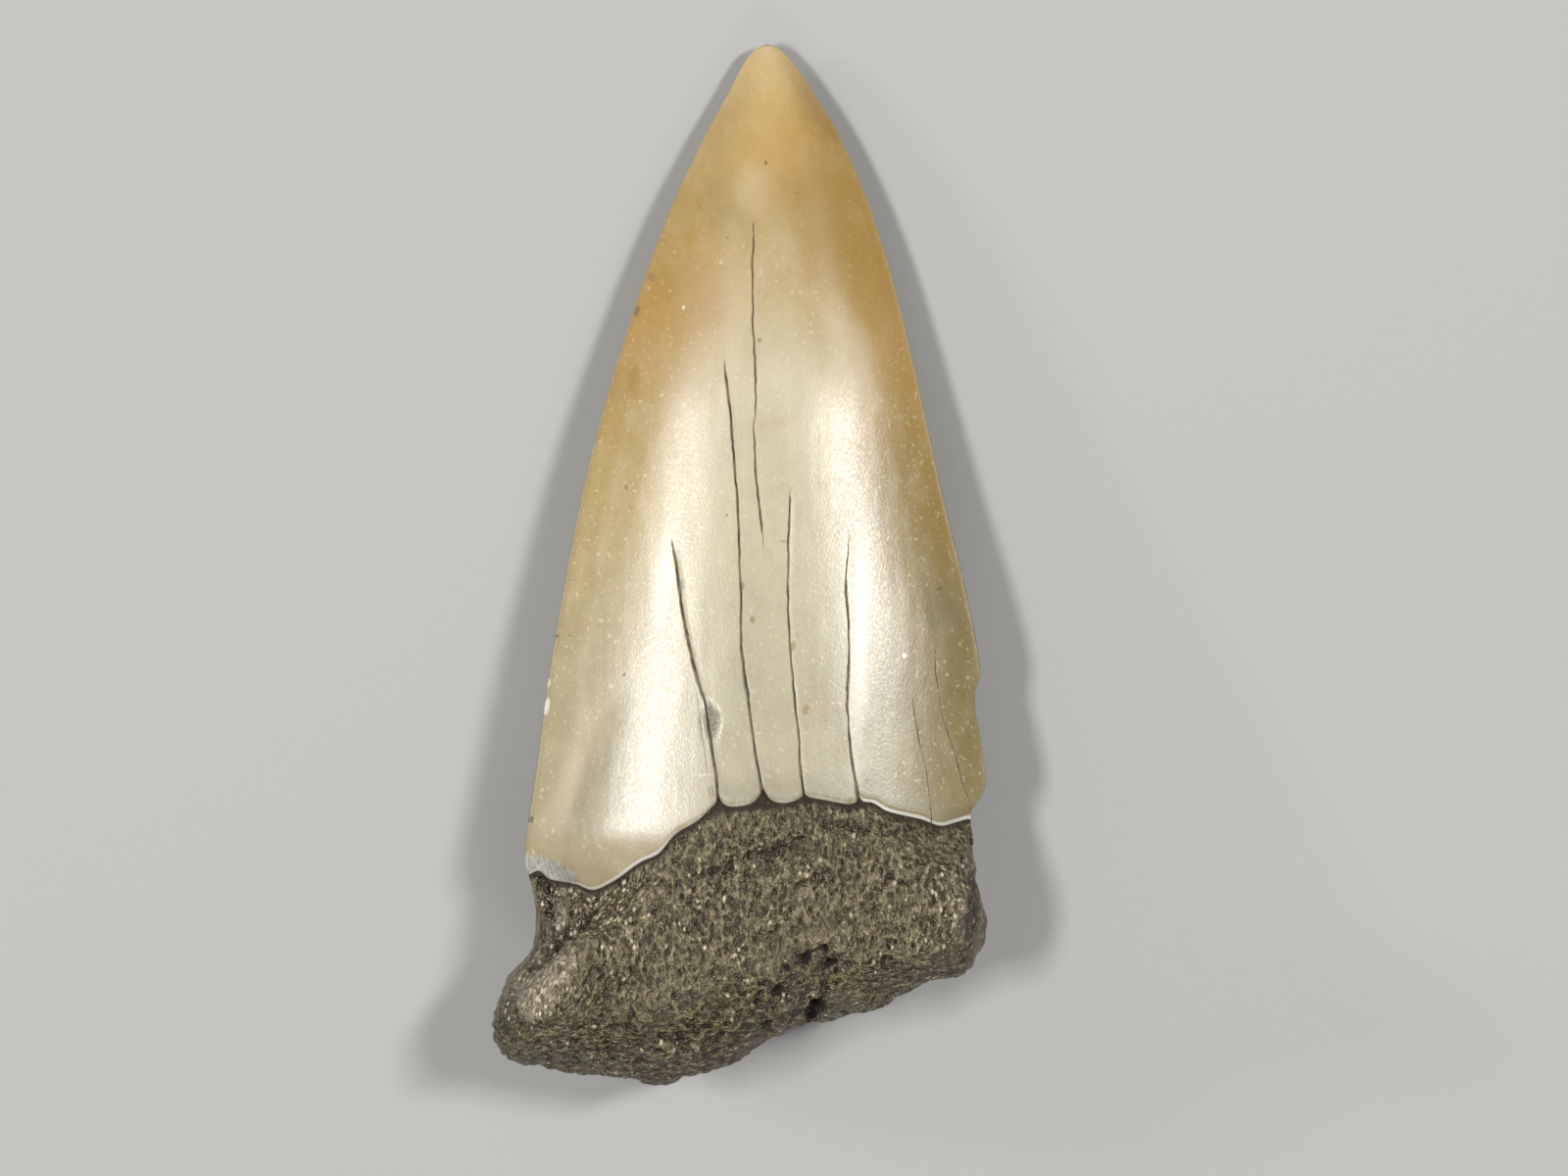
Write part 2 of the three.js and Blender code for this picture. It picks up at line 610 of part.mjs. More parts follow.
function geometryFrom(solid) {
  const mesh = solid.getMesh();
  const geometry = new THREE.BufferGeometry();
  geometry.setAttribute('position', new THREE.BufferAttribute(mesh.vertProperties, 3));
  geometry.setIndex(new THREE.BufferAttribute(mesh.triVerts, 1));
  return geometry;
}

// A pit is a small ellipsoid sunk into a face
function pit({ at, size }, face, place) {
  const [x, depth] = at;
  const height = faceHeight(face, x, depth, depth - face.rootStart(x));
  const geometry = new THREE.SphereGeometry(1, 9, 6);
  geometry.scale(...size);
  geometry.translate(x, -depth, borderHeight(depth) + face.side * height);
  geometry.applyMatrix4(place);
  return solidFrom(geometry);
}

// Cream enamel above the enamel border of each face, dark root below it
function paint(geometry, place) {
  const back = place.clone().invert();
  const { position } = geometry.attributes;
  const colours = [];
  const point = new THREE.Vector3();
  const white = new THREE.Color(1, 1, 1);
  for (let i = 0; i < position.count; i++) {
    point.fromBufferAttribute(position, i).applyMatrix4(back);
    const face = point.z > borderHeight(-point.y) ? LABIAL : LINGUAL;
    const inRoot = -point.y > face.enamelDepth(point.x) + LEDGE_WIDTH / 2;
    colours.push(...(inRoot ? ROOT_TINT : white).toArray());
  }
  geometry.setAttribute('color', new THREE.Float32BufferAttribute(colours, 3));
}

function toothMesh() {
  const surface = toothSurface();
  addLumps(surface);
  const place = placement(surface);
  surface.applyMatrix4(place);
  wearSeat(surface);
  let solid = solidFrom(surface);
  for (const pore of PORES) solid = solid.subtract(pit(pore, LABIAL, place));
  solid = solid.subtract(pit(FORAMEN, LINGUAL, place));
  const geometry = geometryFrom(solid);
  paint(geometry, place);
  geometry.computeVertexNormals();
  const material = new THREE.MeshStandardMaterial({
    color: ENAMEL_COLOUR, vertexColors: true, roughness: 0.4, metalness: 0,
  });
  const mesh = new THREE.Mesh(geometry, material);
  mesh.name = 'tooth';
  return mesh;
}

const fossilTooth = new THREE.Group();
fossilTooth.add(toothMesh());

export default fossilTooth;
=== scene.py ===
"""Looks of the fossil mako shark tooth: a fine mesh in place of the CAD solid,
two procedural materials (enamel and root), a pale floor, soft lights and the camera.

The mesh is written in the plane of the tooth, in millimetres: x runs across the
crown, depth is measured from the tip down to the root, and z is the height above
(labial) or below (lingual) the cutting edges. It is then laid down like the CAD
solid, tip along +Y and labial face up, and turned into metres.
"""

import math

import bpy
import numpy as np
from mathutils import Matrix, Vector


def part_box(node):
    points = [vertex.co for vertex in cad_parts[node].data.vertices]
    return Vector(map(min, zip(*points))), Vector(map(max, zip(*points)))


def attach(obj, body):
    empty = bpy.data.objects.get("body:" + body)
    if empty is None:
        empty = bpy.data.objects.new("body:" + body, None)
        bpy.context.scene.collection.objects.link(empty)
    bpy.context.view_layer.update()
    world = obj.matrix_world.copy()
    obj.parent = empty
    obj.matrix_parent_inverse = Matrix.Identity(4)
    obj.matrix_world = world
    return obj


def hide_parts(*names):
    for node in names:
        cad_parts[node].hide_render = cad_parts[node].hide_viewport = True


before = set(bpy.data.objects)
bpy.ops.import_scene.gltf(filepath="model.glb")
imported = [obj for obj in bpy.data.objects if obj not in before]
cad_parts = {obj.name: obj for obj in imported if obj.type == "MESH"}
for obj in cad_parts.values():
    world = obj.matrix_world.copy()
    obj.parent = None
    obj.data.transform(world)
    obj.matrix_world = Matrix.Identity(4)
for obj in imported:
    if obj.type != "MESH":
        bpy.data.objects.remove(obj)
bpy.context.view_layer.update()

MM = 0.001

# Sizes of the tooth, as in the CAD solid
LEFT_EDGE_END = 38.6
RIGHT_EDGE_END = 36.0
LEFT_CORNER = 46.9
RIGHT_CORNER = 42.8
TIP_X = 0.6
LABIAL_BULGE = (0.28, 0.22)          # at the tip and at the base, over half the width
LABIAL_POWER = (2.2, 2.3)            # roundness of the section
EDGE_POWER = 24                      # rounding beside the cutting edges
LINGUAL_BULGE = (0.50, 0.44)
LINGUAL_POWER = 0.9
TIP_RECURVE = 0.6
RECURVE_LENGTH = 26
ROOT_EDGE_DROP = 1.9
ROOT_LABIAL_HEIGHT = 2.15
ROOT_LABIAL_ROUND = 3.2
ROOT_RIGHT_ROUND = 1.7
ROOT_LEFT_ROUND = 2.3
ROOT_LINGUAL_DEPTH = 5.1
ROOT_LINGUAL_ROUND = 3.6
SWELL_DEPTH = 2.1
SWELL_CENTRE = (-0.4, 39.6)
SWELL_SIZE = (7.4, 4.4)
LEDGE_LABIAL = 0.30
LEDGE_LINGUAL = 0.18
LEDGE_WIDTH = 0.03
RIM_CREASE = 1000                    # numbers of the sharp lines along the enamel border
LEDGE_RECOVERY = 1.6
ROOT_BLEND = 2.2
LUMP_HEIGHT = 0.075
LUMP_WAVES = 21
LUMP_SHORTEST = 1.9
LUMP_LONGEST = 4.4
CROWN_WEAR = 0.08
ROOT_WEAR = 0.34

# Fine detail that only this mesh has
RIM_WIDTH = 0.26                     # rounded lower lip of the enamel
RIM_ROUNDING = 0.11
CRACK_OFFSETS = (-0.065, -0.02, 0.0, 0.02, 0.065)
CRACK_PROFILE = (0.0, -0.09, -0.13, -0.09, 0.0)
CRACK_SHADE = (0.0, 0.9, 1.0, 0.9, 0.0)
CRACK_LIP = 0.014                    # the right lip of an open crack stands up a little
CRACK_DARKNESS = 3.2                 # a crack is dark well before it is deep
CRACK_DEEPENS = (0.38, 0.85)
CRACK_FADE = 1.5
CRACK_THINNEST = 0.55
CRACK_WANDER = 0.05
CREASE_FROM = 0.05                   # cracks open wider than this have sharp lips
BEVEL_LINE = [(-10.7, 37.6), (-9.8, 37.8), (-8.9, 38.15), (-8.35, 38.5)]
BEVEL_END = -8.35
BEVEL_DROP = 0.05
BEVEL_SLOPE = 0.4
CHIP = (-1.98, 31.45, 0.36, 0.8)     # x, depth, half width, half length
CHIP_DEPTH = 0.06

CROWN_ROWS = 150
RIM_ROWS = 6
ROOT_ROWS = 150
LABIAL_COLUMNS = (56, 20, 8, 8, 20, 32, 12, 22)    # between the borders and the seven cracks
LINGUAL_COLUMNS = (28, 24, 19, 20)
BORDER_SEGMENTS = 160

# Borders of the tooth from the tip to the root's corners, as (x, depth)
LEFT_BORDER = [
    (0.6, 0), (0.1, 0.18), (-0.4, 0.73), (-1.15, 2.1), (-2.6, 4.8), (-3.9, 7.55), (-4.95, 10.3),
    (-5.85, 13.0), (-7.1, 17.1), (-8.1, 21.2), (-8.9, 25.3), (-9.6, 29.4), (-10.15, 33.5),
    (-10.55, 36.2), (-10.7, 37.3), (-10.7, 38.0), (-10.55, LEFT_EDGE_END),
    (-10.35, 39.3), (-10.3, 40.7), (-10.45, 42.0), (-11.45, 43.4), (-11.95, 44.4), (-12.18, 45.3),
    (-12.15, 45.9), (-12.0, 46.45), (-11.77, LEFT_CORNER),
]
RIGHT_BORDER = [
    (0.6, 0), (1.1, 0.18), (1.65, 0.73), (2.65, 2.1), (4.2, 4.8), (5.35, 7.55), (6.25, 10.3),
    (6.95, 13.0), (7.9, 17.1), (8.8, 21.2), (9.8, 25.3), (10.35, 28.0), (10.5, 29.2),
    (10.25, 30.2), (10.25, 30.8), (10.45, 31.9), (10.7, 33.7), (10.75, 34.2), (10.6, 34.9),
    (10.0, 35.7), (9.8, RIGHT_EDGE_END),
    (10.0, 36.6), (10.3, 37.9), (10.53, 39.3), (10.72, 40.8), (10.6, 41.75), (10.2, RIGHT_CORNER),
]
SMOOTH_RIGHT_BORDER = RIGHT_BORDER[:11] + [(10.35, 28.0), (10.6, 30.5), (10.75, 33.7), (10.8, 36.0), (10.8, 44.0)]
BASE_BORDER = [
    (-11.77, LEFT_CORNER), (-11.5, 47.2), (-11.05, 47.48), (-10.4, 47.62), (-9.4, 47.65),
    (-8.1, 47.8), (-5.9, 48.15), (-4.8, 48.3), (-2.6, 48.05), (-1.4, 47.55), (0.45, 46.5),
    (2.0, 45.7), (3.9, 45.35), (5.1, 45.0), (6.2, 44.55), (7.7, 43.8), (8.4, 43.5),
    (9.4, 43.38), (9.9, 43.1), (10.2, RIGHT_CORNER),
]
LABIAL_ENAMEL_BORDER = [
    (-10.55, LEFT_EDGE_END), (-10.1, 38.4), (-9.55, 38.8), (-8.4, 39.0), (-7.55, 39.3),
    (-6.6, 38.9), (-5.25, 37.95), (-4.5, 37.6), (-3.65, 36.65), (-2.65, 36.05), (-1.9, 35.5),
    (-0.8, 35.4), (1.35, 35.25), (2.5, 35.0), (4.65, 35.3), (5.35, 35.2), (6.15, 35.6),
    (7.75, 36.0), (8.7, 36.3), (9.3, 36.15), (9.8, RIGHT_EDGE_END),
]
LINGUAL_ENAMEL_BORDER = [
    (-10.55, LEFT_EDGE_END), (-8.4, 37.6), (-5.0, 34.9), (-2.2, 33.1), (-0.2, 32.6),
    (1.9, 33.0), (4.6, 34.2), (7.6, 35.6), (9.8, RIGHT_EDGE_END),
]
NOTCHES = [(-1.65, 0.55, 0.2), (0.4, 0.8, 0.3), (2.3, 0.25, 0.15), (4.85, 0.35, 0.15)]    # x, height, width

# Cracks from top to bottom: the line, where the open part ends, and how wide it opens
LABIAL_CRACKS = [
    ([(-3.88, 22.6), (-3.46, 25.3), (-3.19, 27.1), (-2.65, 29.3), (-2.26, 30.6), (-2.03, 32.1),
      (-1.8, 33.5), (-1.65, 34.9)], None, 0.95),
    ([(-1.47, 14.3), (-1.23, 16.0), (-0.95, 19.1), (-0.76, 22.2), (-0.64, 25.3), (-0.6, 27.8),
      (-0.28, 30.3), (-0.05, 32.1), (0.2, 33.6), (0.4, 34.55)], None, 1.0),
    ([(-0.05, 7.8), (-0.08, 12.2), (-0.04, 13.8), (0.06, 15.8), (-0.02, 18.3), (0.06, 19.9),
      (0.21, 21.4), (0.44, 23.9), (1.25, 35.05)], 23.9, 0.85),
    ([(1.64, 20.2), (1.58, 23.7), (1.55, 26.2), (1.62, 27.7), (1.83, 29.9), (2.0, 31.6),
      (2.18, 33.8), (2.3, 34.8)], None, 0.85),
    ([(4.41, 22.4), (4.22, 25.4), (4.34, 26.8), (4.37, 29.1), (4.3, 30.7), (4.45, 32.7),
      (4.85, 34.9)], None, 0.85),
    ([(7.15, 29.6), (7.5, 31.6), (7.95, 33.9), (8.2, 35.9)], None, 0.5),
    ([(8.27, 27.3), (8.45, 29.4), (8.8, 31.5), (9.27, 32.9), (9.6, 34.1), (10.0, 35.2)], None, 0.5),
]
LINGUAL_CRACKS = [
    ([(-4.1, 24.5), (-3.9, 29.0), (-3.5, 34.1)], None, 0.9),
    ([(0.5, 15.5), (0.2, 24.0), (0.6, 32.65)], None, 1.1),
    ([(4.3, 21.0), (4.5, 27.0), (4.2, 34.0)], None, 0.9),
]

# Low relief: from (x, depth), to (x, depth), width, rise
CROWN_RELIEF = [((-7.4, 31.2), (-9.2, 37.4), 0.9, -0.06)]
ROOT_RELIEF = [
    ((-10.6, 46.0), (-7.6, 42.2), 1.7, 0.95),
    ((7.6, 39.8), (8.2, 41.6), 1.6, 0.45),
    ((-7.8, 40.6), (-11.3, 43.4), 0.55, -0.45),
    ((-9.9, 39.2), (-9.9, 41.8), 0.4, -0.5),
    ((-8.4, 39.6), (-8.5, 41.0), 0.35, -0.3),
    ((9.1, 36.9), (9.9, 39.0), 0.6, -0.55),
    ((-1.6, 38.5), (2.3, 37.4), 0.5, -0.22),
    ((2.6, 45.0), (3.4, 42.9), 0.8, -0.5),
]

# Finer creases and ridges of the labial root
ROOT_CREASES = [
    ((-3.4, 38.5), (-2.8, 38.65), 0.14, -0.12), ((-2.8, 38.65), (-1.2, 38.2), 0.13, -0.16),
    ((-1.2, 38.2), (-0.1, 37.7), 0.18, -0.1), ((-0.1, 37.7), (1.2, 37.5), 0.28, -0.2),
    ((1.2, 37.5), (2.5, 36.8), 0.2, -0.16), ((3.2, 36.1), (5.2, 36.3), 0.28, -0.2),
    ((-0.8, 41.7), (1.5, 41.1), 0.2, -0.08),
    ((9.15, 38.3), (9.75, 39.3), 0.28, 0.22), ((9.75, 39.3), (9.45, 40.2), 0.28, 0.3),
    ((9.45, 40.2), (9.1, 41.2), 0.3, 0.22), ((10.2, 38.9), (10.05, 41.0), 0.35, -0.3),
    ((3.5, 42.6), (2.0, 42.3), 0.16, -0.14),
    ((-10.2, 38.7), (-9.65, 39.0), 0.22, -0.2), ((-9.65, 38.9), (-9.5, 40.3), 0.18, -0.34),
    ((-9.5, 40.3), (-9.35, 41.8), 0.18, -0.32), ((-9.15, 39.0), (-8.95, 40.3), 0.36, 0.2),
    ((-8.95, 40.3), (-9.05, 41.4), 0.3, 0.2), ((-8.6, 39.2), (-8.5, 40.4), 0.12, -0.2),
    ((-8.5, 40.4), (-8.3, 41.0), 0.14, -0.2), ((-8.1, 39.3), (-8.15, 40.4), 0.2, 0.18),
    ((-9.95, 39.5), (-9.85, 41.6), 0.1, -0.16), ((-8.6, 41.6), (-8.3, 42.2), 0.2, 0.16),
    ((-7.4, 40.2), (-7.9, 40.7), 0.16, -0.2), ((-7.9, 40.7), (-8.6, 41.25), 0.17, -0.3),
    ((-8.6, 41.25), (-9.3, 41.95), 0.18, -0.38), ((-9.3, 41.95), (-10.4, 42.9), 0.2, -0.3),
    ((-10.05, 39.3), (-9.95, 41.4), 0.12, 0.16), ((-8.2, 42.0), (-8.35, 42.6), 0.22, 0.16),
    ((-8.6, 43.6), (-9.7, 45.1), 0.22, 0.16), ((-9.4, 43.2), (-10.6, 44.6), 0.2, -0.08),
    ((-9.1, 42.9), (-10.2, 44.0), 0.4, 0.16),
]
FISSURES = [
    ((3.28, 41.9), (2.6, 42.1), 0.07, 0.16), ((3.15, 42.9), (3.2, 43.5), 0.06, 0.2),
    ((3.2, 43.5), (3.1, 44.2), 0.09, 0.3), ((3.3, 37.3), (3.35, 37.8), 0.06, 0.14),
    ((-2.1, 38.35), (-1.5, 38.2), 0.08, 0.14), ((0.1, 37.65), (1.0, 37.55), 0.1, 0.14),
]

# Pores of the root: x, depth, half width, half length, lean in degrees, depth of the hole
PORES = [
    (2.45, 42.4, 0.2, 0.33, 20, 0.55), (3.27, 41.95, 0.13, 0.19, 10, 0.45),
    (3.52, 42.68, 0.34, 0.1, -28, 0.4), (3.75, 43.0, 0.08, 0.18, 20, 0.3),
    (1.5, 42.85, 0.13, 0.17, 0, 0.35), (1.08, 43.9, 0.2, 0.31, 25, 0.5),
    (0.72, 44.4, 0.08, 0.1, 0, 0.25), (2.75, 44.95, 0.3, 0.62, 32, 0.8),
    (0.55, 45.5, 0.1, 0.22, 50, 0.35), (-1.7, 45.0, 0.08, 0.09, 0, 0.22),
    (-1.3, 45.5, 0.08, 0.09, 0, 0.22), (6.0, 42.4, 0.09, 0.15, 10, 0.3),
    (6.2, 41.9, 0.07, 0.16, -35, 0.25), (6.5, 41.65, 0.09, 0.1, 0, 0.2),
    (-3.4, 46.1, 0.09, 0.08, 0, 0.2), (-4.4, 46.0, 0.08, 0.08, 0, 0.2),
    (-5.1, 46.0, 0.08, 0.07, 0, 0.2), (-7.1, 46.1, 0.08, 0.08, 0, 0.2),
    (-5.6, 45.0, 0.08, 0.1, 0, 0.2),
]
FORAMEN = (-0.3, 43.4, 0.5, 0.7, 0, 0.9)
PEARLS = [(-0.1, 44.0, 0.3, 0.13), (-0.1, 43.4, 0.18, 0.09), (2.8, 39.65, 0.16, 0.07)]


# Small maths

def lerp(start, end, share):
    return start + (end - start) * share


def ease(start, end, value):
    share = np.clip((value - start) / (end - start), 0, 1)
    return share * share * (3 - 2 * share)


def smooth_curve(positions, values):
    """A smooth curve through points of rising position, without overshoot."""
    positions = np.asarray(positions, float)
    values = np.asarray(values, float)
    spans = np.diff(positions)
    slopes = np.diff(values) / spans
    product = slopes[:-1] * slopes[1:]
    total = np.where(product > 0, slopes[:-1] + slopes[1:], 1)
    inner = np.where(product > 0, 2 * product / total, 0)
    tangents = np.concatenate([slopes[:1], inner, slopes[-1:]])

    def curve(at):
        i = np.clip(np.searchsorted(positions, at) - 1, 0, len(spans) - 1)
        t = np.clip((at - positions[i]) / spans[i], 0, 1)
        rest = 1 - t
        ends = values[i] * (1 + 2 * t) * rest * rest + values[i + 1] * (3 - 2 * t) * t * t
        return ends + spans[i] * t * rest * (tangents[i] * rest - tangents[i + 1] * t)

    return curve


def side_border(points):
    """x of a side over the root of the depth, which rounds the tip."""
    curve = smooth_curve([math.sqrt(depth) for _, depth in points], [x for x, _ in points])
    return lambda depth: curve(np.sqrt(np.maximum(depth, 0)))


def depth_over(points):
    return smooth_curve([x for x, _ in points], [depth for _, depth in points])


left_x = side_border(LEFT_BORDER)
right_x = side_border(RIGHT_BORDER)
smooth_right_x = side_border(SMOOTH_RIGHT_BORDER)
base_depth = depth_over(BASE_BORDER)
labial_border = depth_over(LABIAL_ENAMEL_BORDER)
lingual_border = depth_over(LINGUAL_ENAMEL_BORDER)


def crown_width(depth):
    return right_x(depth) - left_x(depth)


def share_across(x, depth):
    return (x - left_x(depth)) / np.maximum(crown_width(depth), 1e-6)


def notched_border(x):
    cut = sum(height * np.exp(-np.abs(x - at) / width) for at, height, width in NOTCHES)
    return labial_border(x) - cut


# Noise for the fine relief

class LatticeNoise:
    """Smooth noise between about -1 and 1, and rounded cells, on a seeded lattice."""

    def __init__(self, seed):
        draw = np.random.default_rng(seed)
        self.order = draw.permutation(256)
        steps = draw.normal(size=(256, 3))
        self.steps = steps / np.linalg.norm(steps, axis=1, keepdims=True)
        self.spots = draw.random((256, 3))

    def key(self, cell):
        first = self.order[cell[..., 0] & 255]
        second = self.order[(first + cell[..., 1]) & 255]
        return self.order[(second + cell[..., 2]) & 255]

    def __call__(self, points):
        cell = np.floor(points).astype(int)
        inside = points - cell
        fade = inside ** 3 * (inside * (inside * 6 - 15) + 10)
        total = np.zeros(points.shape[:-1])
        for corner in np.ndindex(2, 2, 2):
            offset = np.array(corner)
            weight = np.prod(np.where(offset, fade, 1 - fade), axis=-1)
            step = self.steps[self.key(cell + offset)]
            total += weight * np.sum(step * (inside - offset), axis=-1)
        return total * 1.6

    def cells(self, points):
        """Rounded bumps: 1 in the middle of each cell, falling to 0 between cells."""
        cell = np.floor(points).astype(int)
        nearest = np.full(points.shape[:-1], 9.0)
        for corner in np.ndindex(3, 3, 3):
            neighbour = cell + np.array(corner) - 1
            spot = neighbour + self.spots[self.key(neighbour)]
            nearest = np.minimum(nearest, np.sum((points - spot) ** 2, axis=-1))
        return np.clip(1 - nearest * 1.4, 0, 1)


WANDER = LatticeNoise(3)
GRAIN = LatticeNoise(11)
LAYERS = LatticeNoise(23)
PEBBLES = LatticeNoise(31)


# Heights over the plane of the tooth

def outline_corners():
    steps = np.arange(BORDER_SEGMENTS) / BORDER_SEGMENTS
    left = LEFT_CORNER * (1 - steps) ** 2
    right = RIGHT_CORNER * steps ** 2
    base = lerp(BASE_BORDER[-1][0], BASE_BORDER[0][0], steps)
    x = np.concatenate([left_x(left), right_x(right), base])
    depth = np.concatenate([left, right, base_depth(base)])
    return np.stack([x, depth], axis=1)


def distance_to_outline(x, depth):
    """Exact beside the outline and without creases further in: each straight
    piece adds the integral of 1 / distance cubed along its length."""
    tiny = 1e-6
    corners = outline_corners()
    total = np.zeros_like(x)
    for start, end in zip(corners, np.roll(corners, -1, axis=0)):
        length = math.hypot(*(end - start))
        along = (end - start) / length
        before = (start[0] - x) * along[0] + (start[1] - depth) * along[1]
        after = before + length
        offset = (start[0] - x) * along[1] - (start[1] - depth) * along[0]
        square = offset * offset + tiny
        total += (after / np.sqrt(square + after ** 2) - before / np.sqrt(square + before ** 2)) / square
    return np.sqrt(2 / np.maximum(total, tiny))


def relief(lines, x, depth):
    height = np.zeros_like(x)
    for (x0, d0), (x1, d1), width, rise in lines:
        square = (x1 - x0) ** 2 + (d1 - d0) ** 2
        t = np.clip(((x - x0) * (x1 - x0) + (depth - d0) * (d1 - d0)) / square, 0, 1)
        away = np.hypot(x - lerp(x0, x1, t), depth - lerp(d0, d1, t))
        height += rise * np.exp(-(away / width) ** 2)
    return height


def border_height(depth):
    recurve = TIP_RECURVE * np.maximum(0, 1 - depth / RECURVE_LENGTH) ** 2
    return recurve - ROOT_EDGE_DROP * ease(RIGHT_EDGE_END, LEFT_CORNER - 3, depth)


def rounded_border(distance, width):
    inward = 1 - np.clip(distance / width, 0, 1)
    return np.sqrt(1 - inward ** 2.2)


def smooth_width(depth):
    """Width of the crown without the nicks in its right edge, which would leave ripples."""
    return np.maximum(smooth_right_x(depth) - left_x(depth), 1e-6)


def crown_section(x, depth, bulge, section):
    down = np.clip(depth / RIGHT_EDGE_END, 0, 1)
    across = np.minimum(1, np.abs(2 * (x - left_x(depth)) / smooth_width(depth) - 1))
    edge = 1 - np.minimum(1, np.abs(2 * share_across(x, depth) - 1)) ** EDGE_POWER
    return lerp(*bulge, down) * smooth_width(np.minimum(depth, 37)) / 2 * section(across, down) * edge


def labial_crown(x, depth):
    height = crown_section(x, depth, LABIAL_BULGE, lambda across, down: 1 - across ** lerp(*LABIAL_POWER, down))
    return height + relief(CROWN_RELIEF, x, depth) * np.minimum(1, height)


def lingual_crown(x, depth):
    return crown_section(x, depth, LINGUAL_BULGE, lambda across, down: (1 - across ** 2) ** LINGUAL_POWER)


def labial_root(x, depth, distance):
    height = ROOT_LABIAL_HEIGHT - border_height(depth) + relief(ROOT_RELIEF, x, depth)
    width = lerp(ROOT_LABIAL_ROUND, ROOT_RIGHT_ROUND, ease(4, 9, x))
    width = lerp(width, ROOT_LEFT_ROUND, ease(-7.5, -9, x) * ease(46, 44.5, depth))
    return height * rounded_border(distance, width)


def lingual_root(x, depth, distance):
    away = ((x - SWELL_CENTRE[0]) / SWELL_SIZE[0]) ** 2 + ((depth - SWELL_CENTRE[1]) / SWELL_SIZE[1]) ** 2
    swell = SWELL_DEPTH * np.exp(-away ** 1.5)
    return (ROOT_LINGUAL_DEPTH + border_height(depth) + swell) * rounded_border(distance, ROOT_LINGUAL_ROUND)


class Crack:
    """A crack in the enamel, as a line that the mesh columns follow."""

    def __init__(self, points, open_to, opening, seed):
        self.top = points[0][1]
        self.bottom = points[-1][1]
        self.open_to = open_to
        self.opening = opening
        self.seed = seed
        self.line = smooth_curve([depth for _, depth in points], [x for x, _ in points])

    def noise(self, depth, scale):
        depth = np.asarray(depth, float)
        return WANDER(np.stack([depth * scale, depth * 0 + self.seed * 7.3, depth * 0 + 0.5], axis=-1))

    def x(self, depth):
        settle = 1 - ease(self.bottom - 1.5, self.bottom, depth)
        return self.line(depth) + CRACK_WANDER * settle * (self.noise(depth, 0.9) + 0.6 * self.noise(depth, 3.1))

    def strength(self, depth):
        opening = self.opening * ease(self.top, self.top + CRACK_FADE, depth)
        opening *= np.clip(0.9 + 0.25 * self.noise(depth + 40, 0.7) + 0.2 * self.noise(depth, 2.3), 0.3, 1.2)
        if self.open_to is None:
            return opening
        return opening * (1 - ease(self.open_to - CRACK_FADE, self.open_to, depth))

    def spread(self, depth):
        """How wide it is here, with 1 for an open crack."""
        wide = lerp(CRACK_THINNEST, 1.0, np.minimum(1, 1.2 * self.strength(depth)))
        return wide * (1 + 0.4 * self.noise(depth + 90, 1.9))


class Face:
    """One of the two faces of the tooth."""

    def __init__(self, side, root_start, enamel_depth, cracks, columns, ledge, crown, root):
        self.side = side
        self.root_start = root_start
        self.enamel_depth = enamel_depth
        self.cracks = [Crack(*crack, seed=i + side) for i, crack in enumerate(cracks)]
        for crack in self.cracks:
            crack.bottom = float(enamel_depth(crack.line(crack.bottom)))
        self.columns = columns
        self.ledge = ledge
        self.crown = crown
        self.root = root

    def height(self, x, depth, below):
        """Height over the border line, below is the depth under the enamel border."""
        crown = self.crown(x, depth)
        root = self.root(x, depth, distance_to_outline(x, depth))
        step = self.ledge * (1 - ease(0, LEDGE_RECOVERY, below)) * np.minimum(1, crown)
        return np.where(below <= 0, crown, lerp(crown, root, ease(0, ROOT_BLEND, below)) - step)

    def crack_columns(self):
        """The column that runs along the middle of each crack."""
        column = 2 - len(CRACK_OFFSETS) + 1
        found = []
        for steps in self.columns[:-1]:
            column += steps + len(CRACK_OFFSETS) - 1
            found.append(column)
        return found


LABIAL = Face(1, labial_border, notched_border, LABIAL_CRACKS, LABIAL_COLUMNS, LEDGE_LABIAL,
              labial_crown, labial_root)
LINGUAL = Face(-1, lingual_border, lingual_border, LINGUAL_CRACKS, LINGUAL_COLUMNS, LEDGE_LINGUAL,
               lingual_crown, lingual_root)


# Grids of points

bevel_depth = depth_over(BEVEL_LINE)


def chip_share(x, depth):
    """1 in the broken patch beside the leftmost crack, with a ragged border."""
    centre_x, centre_depth, half_width, half_length = CHIP
    away = np.hypot((x - centre_x) / half_width, (depth - centre_depth) / half_length)
    ragged = WANDER(np.stack([x * 3.5, depth * 2.2, x * 0 + 4], axis=-1))
    return ease(1.15, 0.75, away + 0.35 * ragged)


def column_shares(face, crack_depths, crowding):
    """Shares across the crown that carry the columns in one row."""
    anchors = [0.0]
    for crack, wanted in zip(face.cracks, crack_depths):
        depth = min(max(wanted, crack.top), crack.bottom)
        centre = share_across(crack.x(depth), depth)
        scale = crack.spread(depth) / crown_width(depth)
        anchors += [centre + offset * scale for offset in CRACK_OFFSETS]
    anchors.append(1.0)
    group = len(CRACK_OFFSETS)
    shares = []
    for i in range(len(anchors) - 1):
        steps = face.columns[i // group] if i % group == 0 else 1
        t = np.arange(steps) / steps
        if i == 0:
            t = lerp(t ** 1.15, 1 - np.cos(t * math.pi / 2), crowding)
        if i == len(anchors) - 2:
            t = lerp(1 - (1 - t) ** 1.15, np.sin(t * math.pi / 2), crowding)
        shares.append(lerp(anchors[i], anchors[i + 1], t))
    shares.append(np.array([1.0]))
    return np.concatenate(shares)


